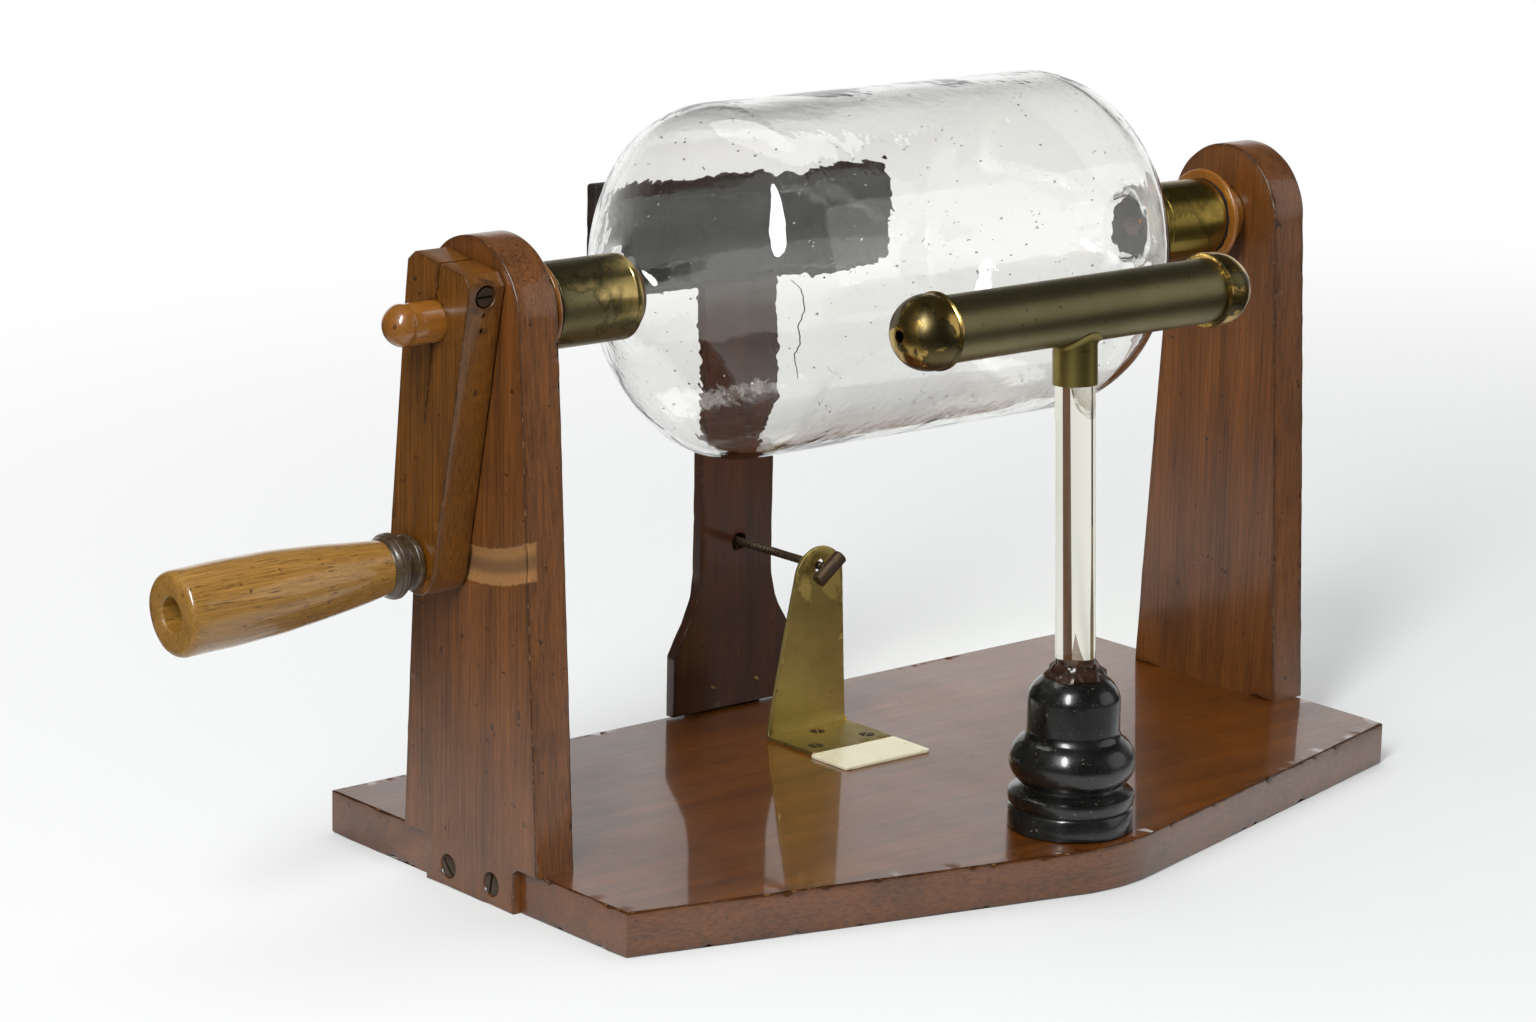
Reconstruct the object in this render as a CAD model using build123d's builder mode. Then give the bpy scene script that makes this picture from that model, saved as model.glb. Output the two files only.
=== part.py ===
from build123d import *
import math
import os

# Glass cylinder electrical machine, all sizes in millimetres.
# X runs along the cylinder axis (crank at -X), +Y is the back, +Z is up,
# and the origin is the middle of the base board's underside.

# ---- base board ----
base_length = 406.0
base_width = 186.0
base_thick = 17.6
bow_depth = 53.3
bow_nose_x = -2.2
bow_nose_radius = 75.0
edge_wear = 0.8

# ---- cylinder axis ----
axis_y = -1.8
axis_z = 222.8

# ---- posts ----
post_thick = 17.8
post_proud = 3.4
post_top_radius = 29.8
post_foot_half = 41.8
post_edge_wear = 0.6
lug_half = 27.4
lug_thick = 9.0
lug_fit = 0.15
bearing_clearance = 0.08
lug_overlap = 2.0
post_out = base_length / 2 + post_proud
post_in = post_out - post_thick

# ---- wood screws through the post lugs ----
lug_screw_y = (11.4, -15.7)
lug_screw_z = 8.3
screw_head_radius = 4.6
screw_head_depth = 2.8
screw_shank_radius = 2.1
screw_length = 22.0
screw_fit = 0.1
screw_recess = 0.3
drill_extra = 1.0
slot_width = 1.1
slot_depth = 1.2

# ---- glass cylinder ----
glass_radius = 68.8
glass_wall = 2.6
neck_radius = 14.7
left_shoulder_run = 104.1
left_neck_run = 50.1
right_shoulder_run = 111.6
right_neck_run = 56.6
neck_end_run = 26.6

# ---- brass caps and turned plugs ----
cap_radius = 16.5
cap_wall = 1.3
cap_left_length = 37.6
cap_left_run = 13.0
cap_right_length = 34.0
cap_right_run = 14.6
cap_lip = 0.5
cap_fit = 0.15
plug_radius = 11.9
plug_length = 28.0
plug_collar_radius = 15.6
flange_radius = 20.2
flange_thick = 2.2
flange_left_run = 9.8
flange_right_run = 13.2
flange_round = 0.9
plug_seat_gap = 0.3
plug_fit = 0.1
shoulder_radius = 12.5
shaft_radius = 7.9
run_gap = 0.8
far_journal_short = 0.8
spindle_out = 21.5
spindle_dome = 6.0

# ---- crank arm ----
crank_angle = 8.6
arm_gap = 0.8
arm_thick = 15.7
arm_top = 22.0
arm_bottom = 105.5
arm_top_half = 19.3
arm_bottom_half = 13.4
arm_corner_cut = 4.0
arm_end_radius = 10.0
arm_hole_fit = 0.05
kerf_width = 1.2
kerf_reach = 39.0
clamp_height = 14.2
clamp_head_radius = 3.6
clamp_head_depth = 2.2
clamp_shank_radius = 1.7
clamp_length = 30.0
clamp_recess = 0.1
clamp_float = 0.2
clamp_tip_gap = 0.5
throw = 93.9

# ---- handle ----
handle_lean = 2.4
pin_radius = 4.0
pin_into_arm = 13.0
pin_head_radius = 5.6
pin_head_thick = 3.0
pin_head_edge = 0.8
pin_head_gap = 0.3
grip_fit = 0.08
collar_flange_radius = 10.6
collar_flange = 3.0
collar_neck_radius = 8.8
collar_neck_end = 5.2
collar_bead_radius = 12.6
collar_end = 13.6
collar_start = 0.5
collar_step = 0.8
collar_fit = 0.05
collar_lip = 0.4
grip_start = 14.0
grip_end = 104.6
grip_small_radius = 10.4
grip_mid_share = 0.28
grip_mid_radius = 13.6
grip_upper_share = 0.56
grip_upper_radius = 15.5
grip_large_radius = 15.9
grip_start_slope = 0.13
grip_end_round = 2.0
recess_radius = 6.5
recess_depth = 14.0

# ---- prime conductor and its pillar ----
pillar_x = -1.4
pillar_y = -114.7
pillar_lean = 3.0
pillar_pivot_z = 80.0
glass_rod_radius = 7.8
glass_rod_sunk = 20.0
rod_fit = 0.15
pillar_drum_radius = 24.3
pillar_neck_radius = 19.4
pillar_bulge_radius = 24.5
pillar_top_radius = 17.9
drum_height = 8.6
drum_groove = 1.2
ring_top = 15.6
waist_low = 17.9
bulge_height = 26.6
waist_high = 36.0
upper_low = 39.6
upper_high = 51.5
pillar_height = 61.0
pillar_mouth_radius = 11.5
pillar_spigot_hole = 12.0
pillar_screw_into = 10.0
pillar_screw_seat = 1.0
wax_height = 4.2
wax_radius = 9.6
wax_sunk = 1.0
wax_taper = 16.0
socket_radius = 8.6
socket_depth = 12.5
rod_end_gap = 3.0
rod_end_edge = 0.5
tube_radius = 12.7
tube_wall = 1.0
ball_radius = 14.4
ball_wall = 1.0
ball_centre_left = -76.6
ball_centre_right = 73.4
ball_skirt = 5.0
ball_bead = 1.6
ball_bead_rise = 0.5
ball_neck = 0.4
ball_taper = 1.2
ball_slack = 0.05
ball_overlap = 1.0
ball_hole_radius = 2.35
ball_fit = 0.1
conductor_rise = 139.4
point_count = 9
point_pitch = 14.0
point_length = 12.0
point_radius = 0.9
point_taper = 3.5
point_tip = 0.15
point_inside = 1.0
point_fit = 0.02

# ---- rubber ----
board_thick = 5.2
board_back = base_width / 2
board_lift = 1.0
board_half = 19.5
board_foot_half = 32.5
board_centre_x = -1.8
board_foot_top = 44.5
board_flare_top = 76.0
flare_in = 3.4
flare_low = 6.5
flare_high = 14.0
board_top = 245.0
pad_centre_x = -7.0
pad_half_length = 76.0
pad_half_height = 23.7
pad_centre_z = 224.5
pad_back_thick = 6.0
pad_back_edge = 0.8
cushion_gap = 0.3
cushion_crown = 3.0
cushion_inset = 0.8
cushion_tuck = 1.6
cushion_lip = 0.6
cushion_swell = 1.5
cushion_swell_in = 5.0
cushion_end_run = 14.0
cushion_end_mid = 5.5
cushion_end_in = 0.4
cushion_end_deep = 6.0

# ---- hinge ----
hinge_half = 19.0
hinge_leaf = 1.4
hinge_leaf_height = 15.0
hinge_pin_radius = 1.3
hinge_knuckle_radius = 2.5
hinge_fit = 0.06
hinge_gap = 0.2
hinge_screw_x = 12.0
hinge_screw_rise = 11.0
hinge_knuckle_sunk = 0.4
hinge_blind = 0.6
hinge_head_sunk = 0.1
hinge_screw_radius = 1.4
hinge_head_radius = 2.6
hinge_head_depth = 1.3
hinge_screw_long = 10.0
hinge_screw_short = 5.0

# ---- adjusting screw and bracket ----
adjust_z = 89.6
adjust_radius = 1.8
adjust_front_y = 28.5
cross_radius = 3.0
cross_half = 7.6
cross_turn = 37.0
cross_gap = 0.9
cross_fit = 0.03
rod_edge = 0.4
adjust_beyond_nut = 6.0
bracket_thick = 1.6
bracket_fold_y = 42.6
bracket_front_y = 13.2
bracket_half_bottom = 21.2
bracket_half_top = 13.0
bracket_lean = 5.0
bracket_top_radius = 12.6
bracket_height = 80.5
bracket_hole_fit = 0.9
bracket_screw_y = 20.9
bracket_screw_x = 13.9
bracket_pin_y = 36.0
bracket_pin_share = 0.62
bracket_head_taper = 25.0
bracket_slot_width = 0.88
bracket_slot_depth = 0.72
bracket_screw_radius = 1.7
bracket_screw_head = 3.7
bracket_head_depth = 1.3
bracket_screw_length = 12.0
board_hole_radius = 3.6
nut_half = 8.0
nut_thick = 3.0
nut_fit = 0.35
nut_screw_offset = 5.6
nut_height_share = 1.1
nut_pin_hole = 0.8
nut_pin_radius = 0.75
nut_pin_head = 1.4
nut_pin_head_high = 0.6
nut_pin_taper = 20.0
nut_pin_short = 1.2

# ---- stations along the axle, measured from the inner faces of the posts ----
left_shoulder_x = -post_in + left_shoulder_run
left_neck_x = -post_in + left_neck_run
right_shoulder_x = post_in - right_shoulder_run
right_neck_x = post_in - right_neck_run
neck_end = post_in - neck_end_run
cap_left_out = -post_in + cap_left_run
cap_left_in = cap_left_out + cap_left_length
cap_right_out = post_in - cap_right_run
cap_right_in = cap_right_out - cap_right_length
flange_left_in = -post_in + flange_left_run
flange_right_in = post_in - flange_right_run
plug_reach = neck_end - plug_length
spindle_end_x = -post_out - arm_gap - arm_thick - spindle_out

# two screws and one pin hold the foot of the adjusting bracket
bracket_seats = ((-bracket_screw_x, bracket_screw_y), (bracket_screw_x, bracket_screw_y), (0, bracket_pin_y))

os.makedirs("parts", exist_ok=True)


def save(solid, node):
    solid.label = node
    export_step(solid, f"parts/{node}.step")


def across(x, y, z, way=1):
    """Plane square to X: sketch x is Y, and it looks along +X or -X."""
    return Plane(origin=(x, y, z), x_dir=(0, 1, 0), z_dir=(way, 0, 0))


# meridian plane of the cylinder: sketch x is X, sketch y is the radius
axle_plane = Plane(origin=(0, axis_y, axis_z), x_dir=(1, 0, 0), z_dir=(0, -1, 0))
axle = Axis((0, axis_y, axis_z), (1, 0, 0))

# ---------------------------------------------------------------- base board
nose = (bow_nose_x, -base_width / 2 - bow_depth)
with BuildPart() as base_board:
    with BuildSketch():
        with BuildLine():
            Polyline(
                (-base_length / 2, base_width / 2),
                (-base_length / 2, -base_width / 2),
                nose,
                (base_length / 2, -base_width / 2),
                (base_length / 2, base_width / 2),
                close=True,
            )
        make_face()
        fillet(vertices().sort_by(Axis.Y)[0], bow_nose_radius)
    extrude(amount=base_thick)
    chamfer(edges().group_by(Axis.Z)[-1], edge_wear)
    # shallow notches in both ends take the lugs of the posts
    with BuildSketch():
        for side in (-1, 1):
            with Locations((side * base_length / 2, axis_y)):
                Rectangle(2 * (lug_thick - post_proud), 2 * (lug_half + lug_fit))
    extrude(amount=base_thick, mode=Mode.SUBTRACT)
    # pilot holes for the lug screws
    for side in (-1, 1):
        end_plane = Plane(origin=(side * post_out, 0, 0), x_dir=(0, side, 0), z_dir=(side, 0, 0))
        with BuildSketch(end_plane):
            with Locations(*[(side * y, lug_screw_z) for y in lug_screw_y]):
                Circle(screw_shank_radius + screw_fit)
        extrude(amount=-screw_length - drill_extra, mode=Mode.SUBTRACT)
    # pilot holes for the bracket foot and the pillar spigot
    with BuildSketch(Plane.XY.offset(base_thick)):
        with Locations(*bracket_seats):
            Circle(bracket_screw_radius + screw_fit)
    extrude(amount=-bracket_screw_length, mode=Mode.SUBTRACT)
    with BuildSketch(Plane.XY):
        with Locations((pillar_x, pillar_y)):
            Circle(screw_shank_radius + screw_fit)
    extrude(amount=base_thick, mode=Mode.SUBTRACT)
    with BuildSketch(Plane.XY):
        with Locations((pillar_x, pillar_y)):
            Circle(screw_head_radius + screw_fit)
    extrude(amount=screw_head_depth + drill_extra, mode=Mode.SUBTRACT)
    # pilot holes in the back edge for the fixed hinge leaf
    with BuildSketch(Plane(origin=(0, base_width / 2, 0), x_dir=(-1, 0, 0), z_dir=(0, 1, 0))):
        with Locations(*[(x - board_centre_x, base_thick / 2) for x in (-hinge_screw_x, hinge_screw_x)]):
            Circle(hinge_screw_radius + screw_fit)
    extrude(amount=-hinge_screw_long, mode=Mode.SUBTRACT)
save(base_board.part, "base_board")


# ---------------------------------------------------------------- posts
def make_post(side, node):
    outer = side * post_out
    face_plane = Plane(origin=(outer, axis_y, 0), x_dir=(0, -side, 0), z_dir=(-side, 0, 0))
    with BuildPart() as post:
        with BuildSketch(face_plane):
            with BuildLine():
                left_top = (-post_top_radius, axis_z)
                right_top = (post_top_radius, axis_z)
                ThreePointArc(left_top, (0, axis_z + post_top_radius), right_top)
                Line(right_top, (post_foot_half, base_thick))
                Line((post_foot_half, base_thick), (-post_foot_half, base_thick))
                Line((-post_foot_half, base_thick), left_top)
            make_face()
        extrude(amount=post_thick)
        chamfer(edges().filter_by(Axis.X, reverse=True).group_by(Axis.X)[0], post_edge_wear)
        chamfer(edges().filter_by(Axis.X, reverse=True).group_by(Axis.X)[-1], post_edge_wear)
        # the narrower lug laps down over the end of the base
        with BuildSketch(face_plane):
            with Locations((0, (base_thick + lug_overlap) / 2)):
                Rectangle(2 * lug_half, base_thick + lug_overlap)
        extrude(amount=lug_thick - lug_fit)
        # bearing hole for the journal
        with BuildSketch(face_plane):
            with Locations((0, axis_z)):
                Circle(shaft_radius + bearing_clearance)
        extrude(amount=post_thick, mode=Mode.SUBTRACT)
        # countersunk holes for the lug screws
        for y in lug_screw_y:
            with BuildSketch(face_plane):
                with Locations((side * (axis_y - y), lug_screw_z)):
                    Circle(screw_head_radius + screw_recess)
            with BuildSketch(face_plane.offset(screw_head_depth + screw_recess)):
                with Locations((side * (axis_y - y), lug_screw_z)):
                    Circle(screw_shank_radius + screw_fit)
            loft(mode=Mode.SUBTRACT)
            with BuildSketch(face_plane):
                with Locations((side * (axis_y - y), lug_screw_z)):
                    Circle(screw_shank_radius + screw_fit)
            extrude(amount=lug_thick, mode=Mode.SUBTRACT)
    save(post.part, node)


make_post(-1, "crank_post")
make_post(1, "far_post")


def make_screws(node, seats, x_dir, z_dir, head_radius, head_depth, shank_radius, length, slotted=True):
    """Countersunk slotted screws; each seat is the centre of a head, z_dir points out of it."""
    with BuildPart() as screws:
        for seat in seats:
            seat_plane = Plane(origin=seat, x_dir=x_dir, z_dir=z_dir)
            with BuildSketch(seat_plane):
                Circle(head_radius)
            with BuildSketch(seat_plane.offset(-head_depth)):
                Circle(shank_radius)
            loft()
            with BuildSketch(seat_plane.offset(-head_depth)):
                Circle(shank_radius)
            extrude(amount=-(length - head_depth))
            if slotted:
                with BuildSketch(seat_plane):
                    Rectangle(2 * head_radius, slot_width)
                extrude(amount=-slot_depth, mode=Mode.SUBTRACT)
    save(screws.part, node)


for side, node in ((-1, "crank_post_screws"), (1, "far_post_screws")):
    make_screws(
        node,
        [(side * (post_out - screw_recess), y, lug_screw_z) for y in lug_screw_y],
        (0, 0.5, 1),
        (side, 0, 0),
        screw_head_radius,
        screw_head_depth,
        screw_shank_radius,
        screw_length,
    )

# ---------------------------------------------------------------- glass cylinder
# blown end curves: run beyond the shoulder and fall from the full radius, as shares of the whole
left_share = ((0.25, 0.059), (0.409, 0.196), (0.574, 0.421), (0.741, 0.699), (0.87, 0.906))
right_share = ((0.2, 0.052), (0.336, 0.152), (0.545, 0.407), (0.727, 0.688), (0.873, 0.917))


def flank(shoulder_x, neck_x, shares):
    fall = glass_radius - neck_radius
    run = neck_x - shoulder_x
    return [(shoulder_x + run * along, glass_radius - fall * down) for along, down in shares]


def inset(points, amount):
    """Moves each inner point of a curve along its own normal, toward the axis side."""
    moved = []
    for before, here, after in zip(points[:-2], points[1:-1], points[2:]):
        run = after[0] - before[0]
        rise = after[1] - before[1]
        length = math.hypot(run, rise)
        side = 1 if run > 0 else -1
        moved.append((here[0] + side * amount * rise / length, here[1] - side * amount * run / length))
    return moved


def blown_curve(shoulder_x, neck_x, shares, amount):
    line = [(shoulder_x, glass_radius)] + flank(shoulder_x, neck_x, shares) + [(neck_x, neck_radius)]
    return [(shoulder_x, glass_radius - amount)] + inset(line, amount) + [(neck_x, neck_radius - amount)]


with BuildPart() as glass_cylinder:
    with BuildSketch(axle_plane):
        with BuildLine():
            for amount in (0.0, glass_wall):
                left_curve = blown_curve(left_shoulder_x, left_neck_x, left_share, amount)
                right_curve = blown_curve(right_shoulder_x, right_neck_x, right_share, amount)
                Line((-neck_end, neck_radius - amount), left_curve[-1])
                Spline(*left_curve, tangents=[(-1, 0), (-1, 0)])
                Line(left_curve[0], right_curve[0])
                Spline(*right_curve, tangents=[(1, 0), (1, 0)])
                Line(right_curve[-1], (neck_end, neck_radius - amount))
            Line((-neck_end, neck_radius), (-neck_end, neck_radius - glass_wall))
            Line((neck_end, neck_radius), (neck_end, neck_radius - glass_wall))
        make_face()
    revolve(axis=axle)
save(glass_cylinder.part, "glass_cylinder")


# ---------------------------------------------------------------- brass caps
def make_cap(x_in, x_out, node):
    toward = 1 if x_out > x_in else -1
    inner = neck_radius + cap_fit
    with BuildPart() as cap:
        with BuildSketch(axle_plane):
            with BuildLine():
                Polyline(
                    (x_in, inner),
                    (x_in, cap_radius - cap_lip),
                    (x_in + toward * cap_lip, cap_radius),
                    (x_out - toward * cap_lip, cap_radius),
                    (x_out, cap_radius - cap_lip),
                    (x_out, inner),
                    close=True,
                )
            make_face()
        revolve(axis=axle)
    save(cap.part, node)


make_cap(cap_left_in, cap_left_out, "crank_end_cap")
make_cap(cap_right_in, cap_right_out, "far_end_cap")

# ---------------------------------------------------------------- turned plugs
shoulder_stop = post_in - run_gap
plug_fill = neck_radius - plug_fit
flange_rim = (flange_radius - plug_fit, flange_radius + plug_fit)
dome_radius = (shaft_radius**2 + spindle_dome**2) / (2 * spindle_dome)
dome_half = math.acos((dome_radius - spindle_dome) / dome_radius) / 2
with BuildPart() as crank_spindle:
    with BuildSketch(axle_plane):
        with BuildLine():
            Polyline(
                (-plug_reach, 0),
                (-plug_reach, plug_radius),
                (-neck_end - plug_seat_gap, plug_radius),
                (-neck_end - plug_seat_gap, plug_fill),
                (cap_left_out, plug_fill),
                (cap_left_out, plug_collar_radius),
                (flange_left_in, plug_collar_radius),
                (flange_left_in, flange_radius),
                (flange_left_in - flange_thick, flange_radius),
                (flange_left_in - flange_thick, shoulder_radius),
                (-shoulder_stop, shoulder_radius),
                (-shoulder_stop, shaft_radius),
                (spindle_end_x + spindle_dome, shaft_radius),
            )
            ThreePointArc(
                (spindle_end_x + spindle_dome, shaft_radius),
                (
                    spindle_end_x + dome_radius * (1 - math.cos(dome_half)),
                    dome_radius * math.sin(dome_half),
                ),
                (spindle_end_x, 0),
            )
            Line((spindle_end_x, 0), (-plug_reach, 0))
        make_face()
        fillet(vertices().filter_by_position(Axis.Y, *flange_rim), flange_round)
    revolve(axis=axle)
save(crank_spindle.part, "crank_spindle")

with BuildPart() as far_journal:
    with BuildSketch(axle_plane):
        with BuildLine():
            Polyline(
                (plug_reach, 0),
                (plug_reach, plug_radius),
                (neck_end + plug_seat_gap, plug_radius),
                (neck_end + plug_seat_gap, plug_fill),
                (cap_right_out, plug_fill),
                (cap_right_out, plug_collar_radius),
                (flange_right_in, plug_collar_radius),
                (flange_right_in, flange_radius),
                (flange_right_in + flange_thick, flange_radius),
                (flange_right_in + flange_thick, shoulder_radius),
                (shoulder_stop, shoulder_radius),
                (shoulder_stop, shaft_radius),
                (post_out - far_journal_short, shaft_radius),
                (post_out - far_journal_short, 0),
                close=True,
            )
        make_face()
        fillet(vertices().filter_by_position(Axis.Y, *flange_rim), flange_round)
    revolve(axis=axle)
save(far_journal.part, "far_journal")

# ---------------------------------------------------------------- crank arm
# plane of the arm's outer face: sketch x across the arm, sketch y up along it
swing = math.radians(crank_angle)
arm_out = -post_out - arm_gap - arm_thick
arm_plane = Plane(
    origin=(arm_out, axis_y, axis_z),
    x_dir=(0, math.cos(swing), math.sin(swing)),
    z_dir=(1, 0, 0),
)
handle_root = arm_plane.from_local_coords((0, -throw, 0))
tilt = math.radians(handle_lean)
arm_down = Vector(0, math.sin(swing), -math.cos(swing))
handle_dir = Vector(-math.cos(tilt), 0, 0) + arm_down * math.sin(tilt)
handle_normal = Vector(0, math.cos(swing), math.sin(swing))
handle_plane = Plane(origin=handle_root, x_dir=handle_dir, z_dir=handle_normal)
handle_axis = Axis(handle_root, handle_dir)

with BuildPart() as crank_arm:
    with BuildSketch(arm_plane):
        with BuildLine():
            Polyline(
                (-arm_top_half, arm_top),
                (arm_top_half, arm_top),
                (arm_bottom_half, -arm_bottom),
                (-arm_bottom_half, -arm_bottom),
                close=True,
            )
        make_face()
        chamfer(vertices().group_by(Axis.Y)[-1], arm_corner_cut)
        fillet(vertices().group_by(Axis.Y)[0], arm_end_radius)
    extrude(amount=arm_thick)
    chamfer(edges().filter_by(Axis.X, reverse=True).group_by(Axis.X)[0], post_edge_wear)
    with BuildSketch(arm_plane):
        Circle(shaft_radius + arm_hole_fit)
    extrude(amount=arm_thick, mode=Mode.SUBTRACT)
    # saw kerf down through the spindle hole
    with BuildSketch(arm_plane):
        with Locations((0, (arm_top + drill_extra - kerf_reach) / 2)):
            Rectangle(kerf_width, arm_top + drill_extra + kerf_reach)
    extrude(amount=arm_thick, mode=Mode.SUBTRACT)
    # hole for the handle pin
    with BuildSketch(handle_plane):
        with Locations((-arm_thick / 2, (pin_radius + arm_hole_fit) / 2)):
            Rectangle(2 * arm_thick, pin_radius + arm_hole_fit)
    revolve(axis=handle_axis, mode=Mode.SUBTRACT)
    # hole for the clamp screw across the kerf
    clamp_mid = arm_plane.from_local_coords((0, clamp_height, arm_thick / 2))
    clamp_front = -arm_plane.x_dir
    arm_taper = (arm_top_half - arm_bottom_half) / (arm_top + arm_bottom)
    clamp_side = arm_top_half - (arm_top - clamp_height) * arm_taper
    clamp_seat = clamp_mid + clamp_front * (clamp_side - clamp_recess)
    with BuildSketch(Plane(origin=clamp_seat, x_dir=(1, 0, 0), z_dir=clamp_front)):
        Circle(clamp_head_radius + screw_fit)
    extrude(amount=-clamp_head_depth - clamp_float, mode=Mode.SUBTRACT)
    with BuildSketch(Plane(origin=clamp_seat, x_dir=(1, 0, 0), z_dir=clamp_front)):
        Circle(clamp_head_radius + screw_fit)
    extrude(amount=2, mode=Mode.SUBTRACT)
    with BuildSketch(Plane(origin=clamp_seat, x_dir=(1, 0, 0), z_dir=clamp_front)):
        Circle(clamp_shank_radius + screw_fit)
    extrude(amount=-clamp_length, mode=Mode.SUBTRACT)
save(crank_arm.part, "crank_arm")

with BuildPart() as clamp_screw:
    clamp_plane = Plane(origin=clamp_seat, x_dir=(1, 0, 0), z_dir=clamp_front)
    with BuildSketch(clamp_plane):
        Circle(clamp_head_radius)
    extrude(amount=-clamp_head_depth)
    with BuildSketch(clamp_plane.offset(-clamp_head_depth)):
        Circle(clamp_shank_radius)
    extrude(amount=-(clamp_length - clamp_head_depth - clamp_tip_gap))
    with BuildSketch(clamp_plane):
        Rectangle(2 * clamp_head_radius, slot_width)
    extrude(amount=-slot_depth, mode=Mode.SUBTRACT)
save(clamp_screw.part, "clamp_screw")

# ---------------------------------------------------------------- handle
head_seat = grip_end - recess_depth
arc_share = 1 - math.sqrt(0.5)
with BuildPart() as handle_pin:
    with BuildSketch(handle_plane):
        with BuildLine():
            Polyline(
                (-pin_into_arm, 0),
                (-pin_into_arm, pin_radius),
                (head_seat + pin_head_gap, pin_radius),
                (head_seat + pin_head_gap, pin_head_radius),
                (head_seat + pin_head_thick - pin_head_edge, pin_head_radius),
                (head_seat + pin_head_thick, pin_head_radius - pin_head_edge),
                (head_seat + pin_head_thick, 0),
                close=True,
            )
        make_face()
    revolve(axis=handle_axis)
save(handle_pin.part, "handle_pin")

with BuildPart() as handle_collar:
    with BuildSketch(handle_plane):
        with BuildLine():
            Polyline(
                (collar_start, pin_radius + collar_fit),
                (collar_start, collar_flange_radius),
                (collar_flange, collar_flange_radius),
                (collar_flange + collar_step, collar_neck_radius),
                (collar_neck_end, collar_neck_radius),
            )
            ThreePointArc(
                (collar_neck_end, collar_neck_radius),
                ((collar_neck_end + collar_end) / 2, collar_bead_radius),
                (collar_end, grip_small_radius - collar_lip),
            )
            Polyline(
                (collar_end, grip_small_radius - collar_lip),
                (collar_end, pin_radius + collar_fit),
                (collar_start, pin_radius + collar_fit),
            )
        make_face()
    revolve(axis=handle_axis)
save(handle_collar.part, "handle_collar")

with BuildPart() as handle_grip:
    with BuildSketch(handle_plane):
        with BuildLine():
            Line((grip_start, pin_radius + grip_fit), (grip_start, grip_small_radius))
            Spline(
                (grip_start, grip_small_radius),
                (grip_start + grip_mid_share * (grip_end - grip_start), grip_mid_radius),
                (grip_start + grip_upper_share * (grip_end - grip_start), grip_upper_radius),
                (grip_end - grip_end_round, grip_large_radius),
                tangents=[(1, grip_start_slope), (1, 0)],
            )
            ThreePointArc(
                (grip_end - grip_end_round, grip_large_radius),
                (grip_end - arc_share * grip_end_round, grip_large_radius - arc_share * grip_end_round),
                (grip_end, grip_large_radius - grip_end_round),
            )
            Polyline(
                (grip_end, grip_large_radius - grip_end_round),
                (grip_end, recess_radius),
                (head_seat, recess_radius),
                (head_seat, pin_radius + grip_fit),
                (grip_start, pin_radius + grip_fit),
            )
        make_face()
    revolve(axis=handle_axis)
save(handle_grip.part, "handle_grip")

# ---------------------------------------------------------------- conductor pillar
lean = math.radians(pillar_lean)
rod_dir = Vector(0, math.sin(lean), math.cos(lean))
rod_root = Vector(pillar_x, pillar_y, pillar_pivot_z)
rod_plane = Plane(origin=rod_root, x_dir=(1, 0, 0), z_dir=rod_dir)
conductor_mid = rod_root + rod_dir * conductor_rise
conductor_axis = Axis(conductor_mid, (1, 0, 0))
conductor_plane = Plane(origin=(0, conductor_mid.Y, conductor_mid.Z), x_dir=(1, 0, 0), z_dir=(0, -1, 0))
foot = base_thick
pillar_plane = Plane(origin=(pillar_x, pillar_y, foot), x_dir=(1, 0, 0), z_dir=(0, -1, 0))
with BuildPart() as pillar_base:
    with BuildSketch(pillar_plane):
        with BuildLine():
            Polyline(
                (0, 0),
                (pillar_drum_radius, 0),
                (pillar_drum_radius, drum_height),
                (pillar_drum_radius - drum_groove, drum_height + drum_groove),
                (pillar_drum_radius, drum_height + 2 * drum_groove),
            )
            ThreePointArc(
                (pillar_drum_radius, drum_height + 2 * drum_groove),
                (pillar_drum_radius + edge_wear / 2, (drum_height + 2 * drum_groove + ring_top) / 2),
                (pillar_drum_radius - drum_groove, ring_top),
            )
            Polyline(
                (pillar_drum_radius - drum_groove, ring_top),
                (pillar_neck_radius, waist_low - edge_wear),
                (pillar_neck_radius, waist_low),
            )
            ThreePointArc(
                (pillar_neck_radius, waist_low),
                (pillar_bulge_radius, bulge_height),
                (pillar_neck_radius, waist_high),
            )
            Spline(
                (pillar_neck_radius, waist_high),
                (pillar_top_radius, upper_low),
                tangents=[(-1, 0.6), (0, 1)],
            )
            Line((pillar_top_radius, upper_low), (pillar_top_radius, upper_high))
            Spline(
                (pillar_top_radius, upper_high),
                (pillar_mouth_radius, pillar_height),
                tangents=[(0, 1), (-1, 0.35)],
            )
            Polyline((pillar_mouth_radius, pillar_height), (0, pillar_height), (0, 0))
        make_face()
    revolve(axis=Axis((pillar_x, pillar_y, 0), (0, 0, 1)))
    # socket for the leaning glass rod
    with BuildSketch(rod_plane.offset(-glass_rod_sunk - 1)):
        Circle(glass_rod_radius + rod_fit)
    extrude(amount=glass_rod_sunk + 4, mode=Mode.SUBTRACT)
    with BuildSketch(Plane.XY.offset(foot)):
        with Locations((pillar_x, pillar_y)):
            Circle(screw_shank_radius + screw_fit)
    extrude(amount=pillar_spigot_hole, mode=Mode.SUBTRACT)
save(pillar_base.part, "pillar_base")

make_screws(
    "pillar_screw",
    [(pillar_x, pillar_y, pillar_screw_seat)],
    (1, 0, 0),
    (0, 0, -1),
    screw_head_radius,
    screw_head_depth,
    screw_shank_radius,
    base_thick + pillar_screw_into,
)

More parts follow.
